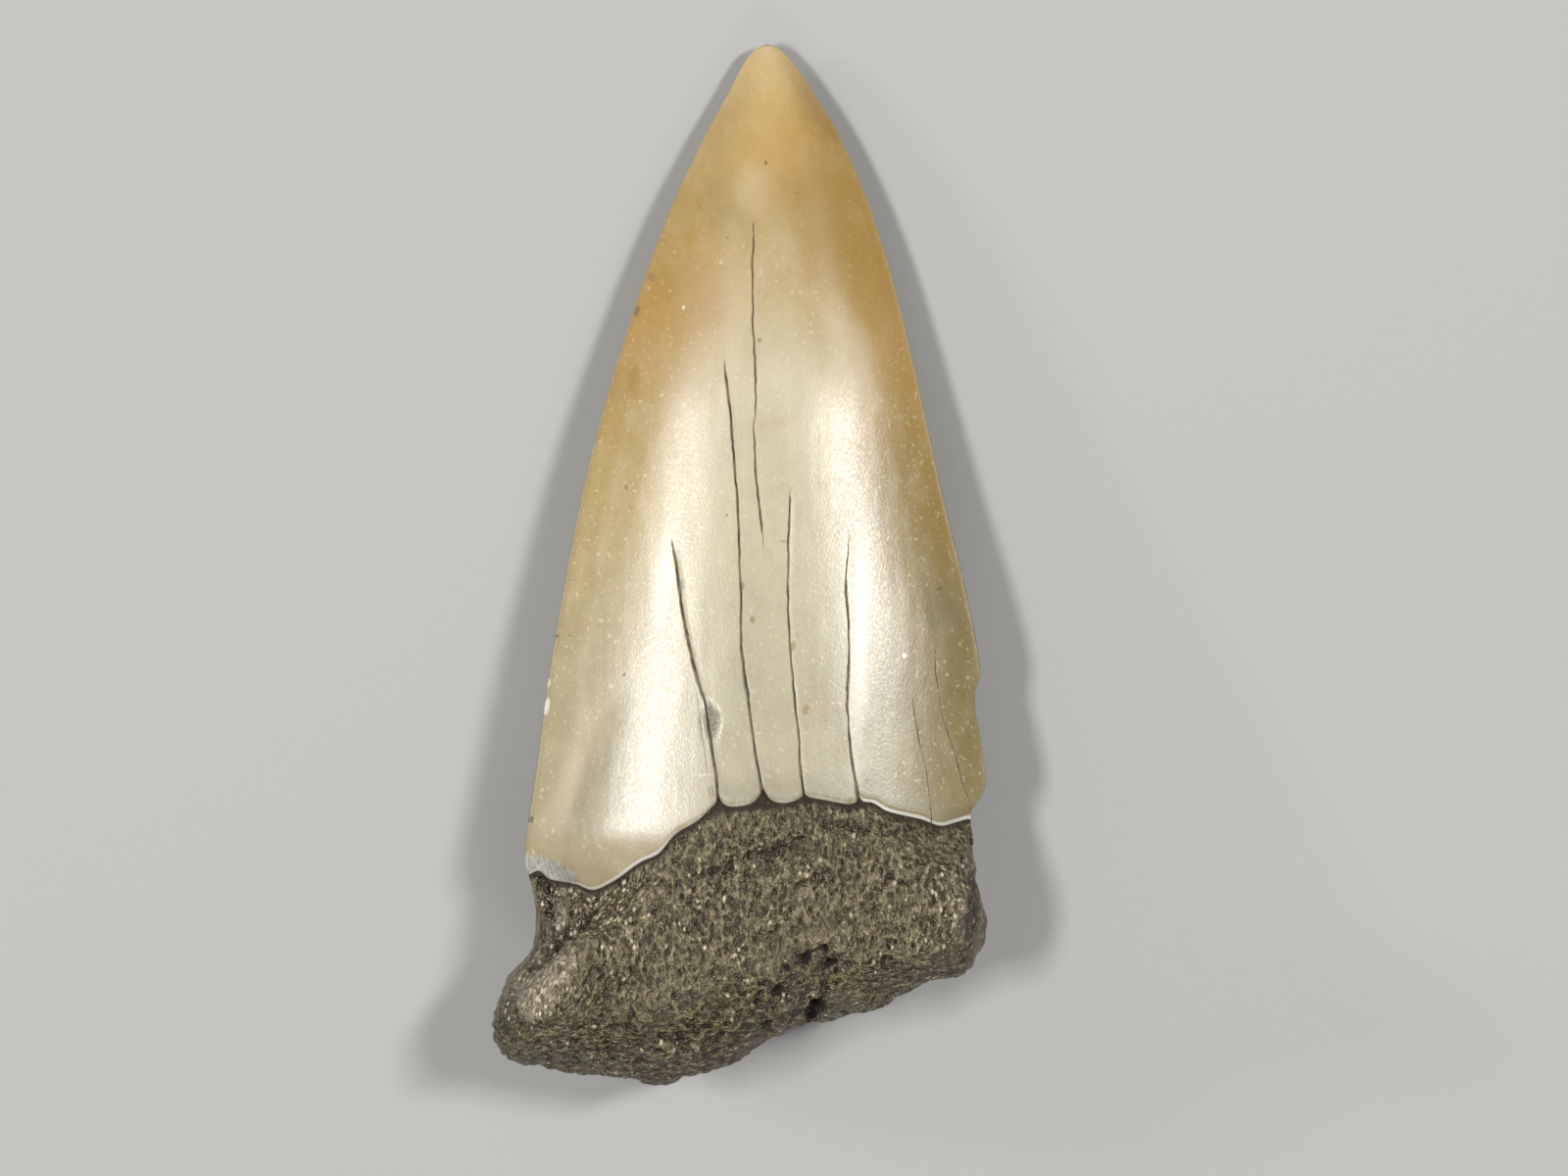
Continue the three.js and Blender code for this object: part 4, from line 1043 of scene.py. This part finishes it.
# Small marks of the enamel with ragged borders, as above
ENAMEL_MARKS = [
    (-6.04, 29.3, 0.08, 0.1, 0, CRACK_AND_SHADOW_COLOUR, 0.75), (-5.96, 20.6, 0.07, 0.12, 0, CRACK_AND_SHADOW_COLOUR, 0.5),
    (-0.1, 26.75, 0.11, 0.15, 0, RUST, 0.75), (1.78, 27.95, 0.12, 0.22, 0, RUST, 0.75),
    (2.36, 30.9, 0.13, 0.26, 10, RUST, 0.65), (0.22, 13.8, 0.09, 0.12, 0, RUST, 0.7),
    (-2.0, 34.7, 0.2, 0.3, 0, OLIVE, 0.4), (9.85, 35.6, 0.2, 0.3, 20, RUST, 0.35),
    (0.52, 5.55, 0.08, 0.1, 0, CRACK_AND_SHADOW_COLOUR, 0.5), (-3.65, 19.1, 0.14, 0.2, 0, RUST, 0.3),
    (-5.5, 12.4, 0.14, 0.26, 15, OLIVE, 0.8), (-4.8, 10.8, 0.2, 0.2, 0, OLIVE, 0.4),
    (-3.3, 12.27, 0.07, 0.09, 0, WHITE_CHIP_AND_HIGHLIGHT, 0.8), (-1.55, 10.2, 0.09, 0.06, 30, WHITE_CHIP_AND_HIGHLIGHT, 0.5),
    (1.98, 6.95, 0.06, 0.06, 0, CRACK_AND_SHADOW_COLOUR, 0.4), (-1.26, 9.05, 0.07, 0.07, 0, CRACK_AND_SHADOW_COLOUR, 0.35),
    (-2.55, 7.55, 0.06, 0.06, 0, CRACK_AND_SHADOW_COLOUR, 0.35), (0.3, 10.6, 0.08, 0.25, 0, WHITE_CHIP_AND_HIGHLIGHT, 0.2),
    (-1.29, 21.9, 0.06, 0.08, 0, CRACK_DUST, 0.7), (1.33, 23.1, 0.12, 0.07, 20, CRACK_DUST, 0.5),
    (-8.4, 23.7, 0.12, 0.1, 0, RUST, 0.35), (-8.46, 24.9, 0.06, 0.06, 0, CRACK_AND_SHADOW_COLOUR, 0.5),
    (-8.6, 27.5, 0.05, 0.05, 0, CRACK_AND_SHADOW_COLOUR, 0.5), (8.6, 25.3, 0.12, 0.06, -30, CRACK_AND_SHADOW_COLOUR, 0.5),
    (-3.3, 25.05, 0.12, 0.25, -10, CRACK_DUST, 0.6), (-3.2, 27.5, 0.1, 0.2, -10, CRACK_DUST, 0.5),
    (-0.58, 25.15, 0.1, 0.18, 0, CRACK_DUST, 0.7), (4.32, 25.7, 0.09, 0.3, 5, CRACK_DUST, 0.6),
    (4.36, 29.0, 0.1, 0.25, 0, CRACK_DUST, 0.5), (-10.0, 27.7, 0.08, 0.12, 0, CRACK_AND_SHADOW_COLOUR, 0.4),
    (-9.66, 30.8, 0.13, 0.36, 8, WHITE_CHIP_AND_HIGHLIGHT, 0.7),
    (-9.6, 29.7, 0.1, 0.2, 8, WHITE_CHIP_AND_HIGHLIGHT, 0.5), (-9.2, 27.5, 0.08, 0.08, 0, CRACK_AND_SHADOW_COLOUR, 0.7),
    # (6.95, 28.4) and (7.12, 28.55): painted highlight of a small pit and painted shadow beside it
    (-10.4, 36.05, 0.12, 0.16, 0, CRACK_AND_SHADOW_COLOUR, 0.7), (6.95, 28.4, 0.11, 0.11, 0, WHITE_CHIP_AND_HIGHLIGHT, 0.95),
    (7.12, 28.55, 0.06, 0.08, 0, CRACK_AND_SHADOW_COLOUR, 0.5), (5.2, 34.2, 0.1, 0.12, 0, CRACK_AND_SHADOW_COLOUR, 0.4),
    (-2.59, 30.8, 0.05, 0.95, -6.4, CRACK_DUST, 0.6), (-2.38, 32.35, 0.05, 0.9, -8.7, CRACK_DUST, 0.65),
    (-2.22, 33.55, 0.05, 0.6, -5.7, CRACK_DUST, 0.6),
]


def enamel_colour(n, plane, across, down):
    wander = n.noise(n.stretched(plane, (0.2, 0.13, 0.2)), 1.0, 4.0, 0.6)
    shifted = n.math("ADD", down, n.math("MULTIPLY_ADD", wander, 0.2, -0.1))
    centre = n.ramp(shifted, CENTRE_COLOURS)
    left = n.ramp(shifted, LEFT_LIT_COLOURS)
    right = n.ramp(shifted, RIGHT_SHADED_COLOURS)
    # The flanks take the side colours: painted light on the left, painted shade on the right
    side = n.mix(n.between(across, -0.1, 0.1), left, right)
    outward = n.math("ADD", n.math("ABSOLUTE", across), n.math("MULTIPLY_ADD", wander, 0.5, -0.25))
    colour = n.mix(n.between(outward, 0.15, 0.75), centre, side)
    streaks = n.noise(n.stretched(plane, (3.2, 0.22, 3.2)), 1.0, 3.0)
    colour = n.mix(n.between(streaks, 0.35, 0.75, 0.0, 0.06), colour, linear(160, 146, 112))
    mottle = n.noise(n.stretched(plane, (0.9, 0.6, 0.9)), 1.0, 5.0, 0.6)
    colour = n.mix(n.between(mottle, 0.4, 0.75, 0.0, 0.2), colour, linear(222, 206, 168))
    colour = n.mix(n.between(mottle, 0.55, 0.25, 0.0, 0.2), colour, linear(176, 146, 96))
    specks = n.noise(n.stretched(plane, (7.0, 3.0, 7.0)), 1.0, 2.0)
    colour = n.mix(n.between(specks, 0.6, 0.8, 0.0, 0.25), colour, linear(160, 138, 96))
    flecks = n.between(n.noise(n.stretched(plane, (5.0, 4.2, 5.0)), 1.0, 1.0), 0.6, 0.78, 0.0, 0.5)
    flecks = n.math("MULTIPLY", flecks, n.between(down, 0.1, 0.45, 0.25, 1.0))
    return n.mix(flecks, colour, linear(238, 220, 182))


def away_from(n, plane, spot, half_width, half_length, lean):
    """1 on the border of an ellipse in the plane of the tooth, less inside it."""
    placed = n.tree.nodes.new("ShaderNodeMapping")
    placed.vector_type = "TEXTURE"
    n.set(placed.inputs["Vector"], plane)
    placed.inputs["Location"].default_value = (spot[0], -spot[1], 0.0)
    placed.inputs["Rotation"].default_value = (0.0, 0.0, -math.radians(lean))
    placed.inputs["Scale"].default_value = (half_width, half_length, FLAT)
    length = n.tree.nodes.new("ShaderNodeVectorMath")
    length.operation = "LENGTH"
    n.set(length.inputs[0], placed.outputs[0])
    return length.outputs["Value"]


def add_mark(n, colour, plane, ragged, labial, mark, soft):
    x, depth, half_width, half_length, lean, tint, strength = mark
    away = n.math("ADD", away_from(n, plane, (x, depth), half_width, half_length, lean), ragged)
    spot = n.between(away, 1 + soft, 1 - soft, 0.0, strength)
    return n.mix(n.math("MULTIPLY", spot, labial), colour, tint)


def enamel_material():
    n = Nodes("fossil_enamel")
    plane = n.attribute("plane", "Vector")
    across = n.attribute("across")
    below = n.attribute("below")
    split = n.tree.nodes.new("ShaderNodeSeparateXYZ")
    n.set(split.inputs[0], plane)
    down = n.math("MULTIPLY", split.outputs["Y"], -1 / RIGHT_EDGE_END)
    labial = n.math("GREATER_THAN", split.outputs["Z"], 0.0)
    colour = enamel_colour(n, plane, across, down)
    drift = n.math("MULTIPLY_ADD", n.noise(plane, 0.7, 4.0), 1.4, -0.7)
    for patch in ENAMEL_PATCHES:
        colour = add_mark(n, colour, plane, drift, labial, patch, 0.75)
    edge = n.between(n.math("ABSOLUTE", across), 0.965, 0.995, 0.0, 0.6)
    colour = n.mix(edge, colour, EDGE_COLOUR)
    dull_edge = n.between(n.math("ABSOLUTE", across), 0.7, 0.93)

    x = split.outputs["X"]
    tabs = n.math("MULTIPLY", n.between(x, -4.4, -3.4), n.between(x, 5.2, 4.4))
    shade = n.math("MULTIPLY", n.between(below, -1.7, -0.5), n.between(x, -2.8, -1.0, 0.0, 0.5))
    colour = n.mix(shade, colour, linear(150, 140, 112))
    streaks = n.noise(n.stretched(plane, (9.0, 0.9, 9.0)), 1.0, 2.0)
    strokes = n.math("MULTIPLY", n.between(below, -0.6, -0.15), n.between(streaks, 0.45, 0.6))
    colour = n.mix(n.math("MULTIPLY", strokes, n.math("MULTIPLY", tabs, 0.15)), colour, RIM_HIGHLIGHT_AND_STROKE_COLOUR)
    # A painted highlight along the enamel's lower rim, beside the tabs
    rim = n.math("MULTIPLY", n.between(below, -0.17, -0.1), n.math("SUBTRACT", 1.0, tabs))
    colour = n.mix(n.math("MULTIPLY", rim, 0.7), colour, RIM_HIGHLIGHT_AND_STROKE_COLOUR)
    ragged = n.math("MULTIPLY_ADD", n.noise(plane, 4.0, 3.0), 1.0, -0.5)
    for mark in ENAMEL_MARKS:
        colour = add_mark(n, colour, plane, ragged, labial, mark, 0.3)
    bevel = n.attribute("bevel")
    colour = n.mix(bevel, colour, n.mix(n.between(streaks, 0.3, 0.6), BEVEL_DARK, BEVEL_COLOUR))
    chip = n.attribute("chip")
    rubble = n.noise(plane, 9.0, 3.0, 0.7)
    colour = n.mix(chip, colour, n.mix(n.between(rubble, 0.35, 0.6), CHIP_DARK, CHIP_COLOUR))
    crack = n.attribute("crack")
    dust = n.noise(n.stretched(plane, (2.5, 1.1, 2.5)), 1.0, 3.0, 0.6)
    fill = n.mix(n.between(dust, 0.38, 0.6), CRACK_AND_SHADOW_COLOUR, CRACK_DUST)
    colour = n.mix(n.between(crack, 0.02, 0.5, 0.0, 0.25), colour, linear(160, 138, 96))
    colour = n.mix(n.between(crack, 0.4, 0.85), colour, fill)
    n.set(n.shader.inputs["Base Color"], colour)

    pits = n.noise(n.stretched(plane, (10.0, 6.5, 10.0)), 1.0, 0.0)
    waves = n.noise(n.stretched(plane, (1.1, 0.3, 1.1)), 1.0, 1.0)
    normal = n.bump(waves, 0.00002, 1.0)
    rough_foot = n.between(down, 0.3, 0.8, 0.6, 0.95)
    normal = n.bump(n.math("MULTIPLY", pits, rough_foot), 0.0000045, 1.0, normal)
    normal = n.bump(n.math("MULTIPLY", rubble, chip), 0.0001, 1.0, normal)
    normal = n.bump(n.math("MULTIPLY", streaks, bevel), 0.00003, 1.0, normal)
    n.set(n.shader.inputs["Normal"], normal)
    satin = n.between(down, 0.28, 0.5, 0.95, 0.36)
    roughness = n.math("ADD", satin, n.math("MULTIPLY_ADD", pits, 0.12, -0.06))
    wear_and_ridge_highlight = n.math("MAXIMUM", n.math("MAXIMUM", chip, crack), n.math("MULTIPLY", bevel, 0.3))
    wear_and_ridge_highlight = n.math("MAXIMUM", wear_and_ridge_highlight, dull_edge)
    n.set(n.shader.inputs["Roughness"], n.math("MAXIMUM", roughness, n.math("MULTIPLY", wear_and_ridge_highlight, 0.8)))
    n.shader.inputs["Specular IOR Level"].default_value = 1.0
    n.shader.inputs["Subsurface Weight"].default_value = 0.2
    n.shader.inputs["Subsurface Radius"].default_value = (1.0, 0.7, 0.4)
    n.shader.inputs["Subsurface Scale"].default_value = 0.0008
    n.shader.inputs["Coat Weight"].default_value = 0.1
    n.shader.inputs["Coat Roughness"].default_value = 0.27
    return n.material


def facets(n, vector, gloss_and_glints):
    """Masks of small facets painted as glints, and of dark pits between them."""
    cells = n.tree.nodes.new("ShaderNodeTexVoronoi")
    n.set(cells.inputs["Vector"], vector)
    cells.inputs["Scale"].default_value = 1.0
    spot = n.between(cells.outputs["Distance"], 0.5, 0.15)
    draw = n.math("MULTIPLY", cells.outputs["Color"], 1.0)
    bright = n.between(n.math("ADD", draw, gloss_and_glints), 0.74, 0.92)
    dark = n.between(draw, 0.28, 0.14)
    return n.math("MULTIPLY", bright, spot), n.math("MULTIPLY", dark, spot)


def root_material():
    n = Nodes("fossil_root")
    plane = n.attribute("plane", "Vector")
    layers = n.attribute("layers")
    below = n.attribute("below")
    grain = n.between(layers, 0.0, 1.0)
    fibres = n.noise(n.stretched(plane, (4.3, 2.3, 4.3)), 1.0, 2.0, 0.66)
    lumps = n.noise(n.stretched(plane, (3.0, 4.4, 3.5)), 1.0, 2.0, 0.66)
    relief = n.math("ADD", n.math("MULTIPLY", fibres, n.math("SUBTRACT", 1.0, grain)),
                    n.math("MULTIPLY", lumps, grain))
    patches = n.noise(plane, 0.5, 4.0)
    upper = n.ramp(relief, [
        (0.34, linear(24, 19, 9)), (0.44, linear(73, 64, 42)), (0.52, linear(106, 97, 70)),
        (0.64, linear(162, 149, 118))])
    lower = n.ramp(relief, [
        (0.34, linear(12, 9, 3)), (0.44, linear(45, 39, 20)), (0.52, linear(81, 74, 45)),
        (0.63, linear(136, 127, 90))])
    colour = n.mix(grain, upper, lower)
    blotches = n.noise(n.stretched(plane, (1.2, 1.0, 1.2)), 1.0, 3.0, 0.6)
    colour = n.mix(n.between(blotches, 0.46, 0.34, 0.0, 0.45), colour, linear(36, 30, 18))
    colour = n.mix(n.between(blotches, 0.54, 0.68, 0.0, 0.35), colour, linear(146, 132, 104))
    colour = n.mix(n.between(patches, 0.45, 0.7, 0.0, 0.3), colour, linear(76, 78, 56))
    labial = n.math("MULTIPLY", n.attribute("labial"), n.between(below, 0.05, 0.4))
    drift = n.math("MULTIPLY_ADD", n.noise(plane, 1.6, 3.0), 1.2, -0.6)
    # Raised places of the labial root, where the painted highlights of the patches show most
    wear_and_ridge_highlight = n.math("MULTIPLY", n.between(relief, 0.4, 0.6, 0.4, 1.0), labial)
    for patch in ROOT_WEAR_AND_HIGHLIGHT_PATCHES:
        colour = add_mark(n, colour, plane, drift, wear_and_ridge_highlight, patch, 0.6)
    hollow_shade = n.attribute("hollow_shade")
    # Painted shade in the low grain and creases
    colour = n.mix(n.between(hollow_shade, 0.5, 0.95, 0.0, 0.75), colour, linear(30, 25, 16))
    # Painted shadow under the enamel's ledge, which also dulls the root there and hides its glints
    ledge_shadow = n.between(below, 0.5, 0.1, 0.0, 0.9)
    colour = n.mix(ledge_shadow, colour, linear(24, 20, 13))
    clusters = n.noise(n.stretched(plane, (1.6, 1.0, 1.6)), 1.0, 2.0, 0.6)
    gloss_and_glints = n.math("MULTIPLY_ADD", clusters, 0.6, -0.3)
    for *spot, amount in GLOSSY_GLINT_SPOTS:
        near = n.between(away_from(n, plane, *spot), 1.3, 0.4, 0.0, amount)
        gloss_and_glints = n.math("ADD", gloss_and_glints, n.math("MULTIPLY", labial, near))
    bent = n.math("MULTIPLY_ADD", n.noise(plane, 2.0, 2.0), 0.8, -0.4)
    facet_space = n.tree.nodes.new("ShaderNodeVectorMath")
    n.set(facet_space.inputs[0], n.stretched(plane, (4.4, 2.7, 4.4)))
    n.set(facet_space.inputs[1], bent)
    glint, pit = facets(n, facet_space.outputs[0], gloss_and_glints)
    shown = n.math("SUBTRACT", 1.0, ledge_shadow)
    glint = n.math("MULTIPLY", glint, shown)
    # Dark pits between the facets, then the painted glints
    colour = n.mix(n.math("MULTIPLY", pit, 0.75), colour, linear(22, 17, 10))
    colour = n.mix(glint, colour, GLINT)
    pore = n.attribute("pore")
    ragged = n.math("MULTIPLY_ADD", n.noise(plane, 6.0, 2.0), 0.9, -0.45)
    for x, depth, half_width, half_length, lean, _ in PORES:
        away = n.math("ADD", away_from(n, plane, (x, depth), half_width, half_length, lean), ragged)
        pore = n.math("MAXIMUM", pore, n.math("MULTIPLY", labial, n.between(away, 1.1, 0.8)))
    colour = n.mix(pore, colour, linear(6, 5, 4))
    n.set(n.shader.inputs["Base Color"], colour)

    raised = n.math("SUBTRACT", n.math("MULTIPLY_ADD", glint, 0.06, relief), n.math("MULTIPLY", pit, 0.1))
    normal = n.bump(raised, 0.0005, 1.0)
    n.set(n.shader.inputs["Normal"], normal)
    dull = n.math("MAXIMUM", ledge_shadow, pore)
    roughness = n.math("MAXIMUM", n.between(gloss_and_glints, -0.12, 0.12, 0.44, 0.24), dull)
    n.set(n.shader.inputs["Roughness"], roughness)
    n.shader.inputs["Specular IOR Level"].default_value = 1.0
    n.shader.inputs["Specular Tint"].default_value = (1.0, 0.87, 0.73, 1.0)
    return n.material


def floor_material():
    n = Nodes("pale_floor")
    n.shader.inputs["Base Color"].default_value = (0.42, 0.42, 0.41, 1.0)
    n.shader.inputs["Roughness"].default_value = 0.9
    return n.material


# Camera, floor and lights

PHOTO_SIZE = (1600, 1200)
PHOTO_PIXELS_PER_MM = 22.0
PHOTO_TIP = (783, 44)                # pixel of the tip
PHOTO_ORIGIN_X = 770                 # pixel column of x = 0
CAMERA_DISTANCE = 0.36
CAMERA_SENSOR = 36.0
MIDDLE_HEIGHT = 1.2                  # mean height of the labial face, in focus


def add_camera(place):
    centre_x = (PHOTO_SIZE[0] / 2 - PHOTO_ORIGIN_X) / PHOTO_PIXELS_PER_MM
    centre_depth = (PHOTO_SIZE[1] / 2 - PHOTO_TIP[1]) / PHOTO_PIXELS_PER_MM
    target = place @ Vector((centre_x, -centre_depth, MIDDLE_HEIGHT))
    turn = place.to_3x3().normalized()
    view_width = PHOTO_SIZE[0] / PHOTO_PIXELS_PER_MM * MM
    camera = bpy.data.cameras.new("camera")
    camera.sensor_width = CAMERA_SENSOR
    camera.lens = CAMERA_SENSOR * CAMERA_DISTANCE / view_width
    camera.clip_start = 0.01
    holder = bpy.data.objects.new("camera", camera)
    upward = turn @ Vector((0, 0, 1))
    holder.matrix_world = Matrix.Translation(target + upward * CAMERA_DISTANCE) @ turn.to_4x4()
    bpy.context.scene.collection.objects.link(holder)
    bpy.context.scene.camera = holder


def add_floor():
    mesh = bpy.data.meshes.new("floor")
    half = 0.6
    mesh.from_pydata([(-half, -half, 0), (half, -half, 0), (half, half, 0), (-half, half, 0)], [], [(0, 1, 2, 3)])
    mesh.materials.append(floor_material())
    floor = bpy.data.objects.new("floor", mesh)
    bpy.context.scene.collection.objects.link(floor)


# Lights as seen from the tooth: degrees to the side, degrees down its length, degrees that
# the light is turned in its own plane, size and power
LIGHT_DISTANCE = 0.5
LIGHTS = {
    "left_lamp": (-25.0, 1.5, 0.0, (0.055, 0.12), 1.44),
    "right_lamp": (26.2, -7.5, -55.0, (0.045, 0.1), 1.45),
    "far_left_lamp": (-66.0, -10.0, 0.0, (0.06, 0.06), 0.52),
    "foot_lamp": (5.0, 60.0, 0.0, (0.12, 0.12), 0.3),
}
WARM_WHITE = (1.0, 0.99, 0.975)


def add_lights(place):
    turn = place.to_3x3().normalized()
    middle = place @ Vector((0, -RIGHT_EDGE_END * 0.6, 0))
    for name, (aside, down, spin, size, power) in LIGHTS.items():
        light = bpy.data.lights.new(name, "AREA")
        light.shape = "RECTANGLE"
        light.size, light.size_y = size
        light.energy = power
        light.color = WARM_WHITE
        swing = Matrix.Rotation(math.radians(aside), 3, "Y") @ Matrix.Rotation(math.radians(down), 3, "X")
        out = Matrix.Translation((0, 0, LIGHT_DISTANCE)) @ Matrix.Rotation(math.radians(spin), 4, "Z")
        holder = bpy.data.objects.new(name, light)
        holder.matrix_world = Matrix.Translation(middle) @ (turn @ swing).to_4x4() @ out
        bpy.context.scene.collection.objects.link(holder)
    world = bpy.data.worlds.new("studio")
    world.use_nodes = True
    world.node_tree.nodes["Background"].inputs["Color"].default_value = (0.96, 0.97, 1.0, 1.0)
    world.node_tree.nodes["Background"].inputs["Strength"].default_value = 0.17
    bpy.context.scene.world = world


tooth, tooth_place = make_tooth([enamel_material(), root_material()])
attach(tooth, "root")
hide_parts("tooth")

add_camera(tooth_place)
add_floor()
add_lights(tooth_place)
bpy.context.scene.view_settings.view_transform = "Standard"
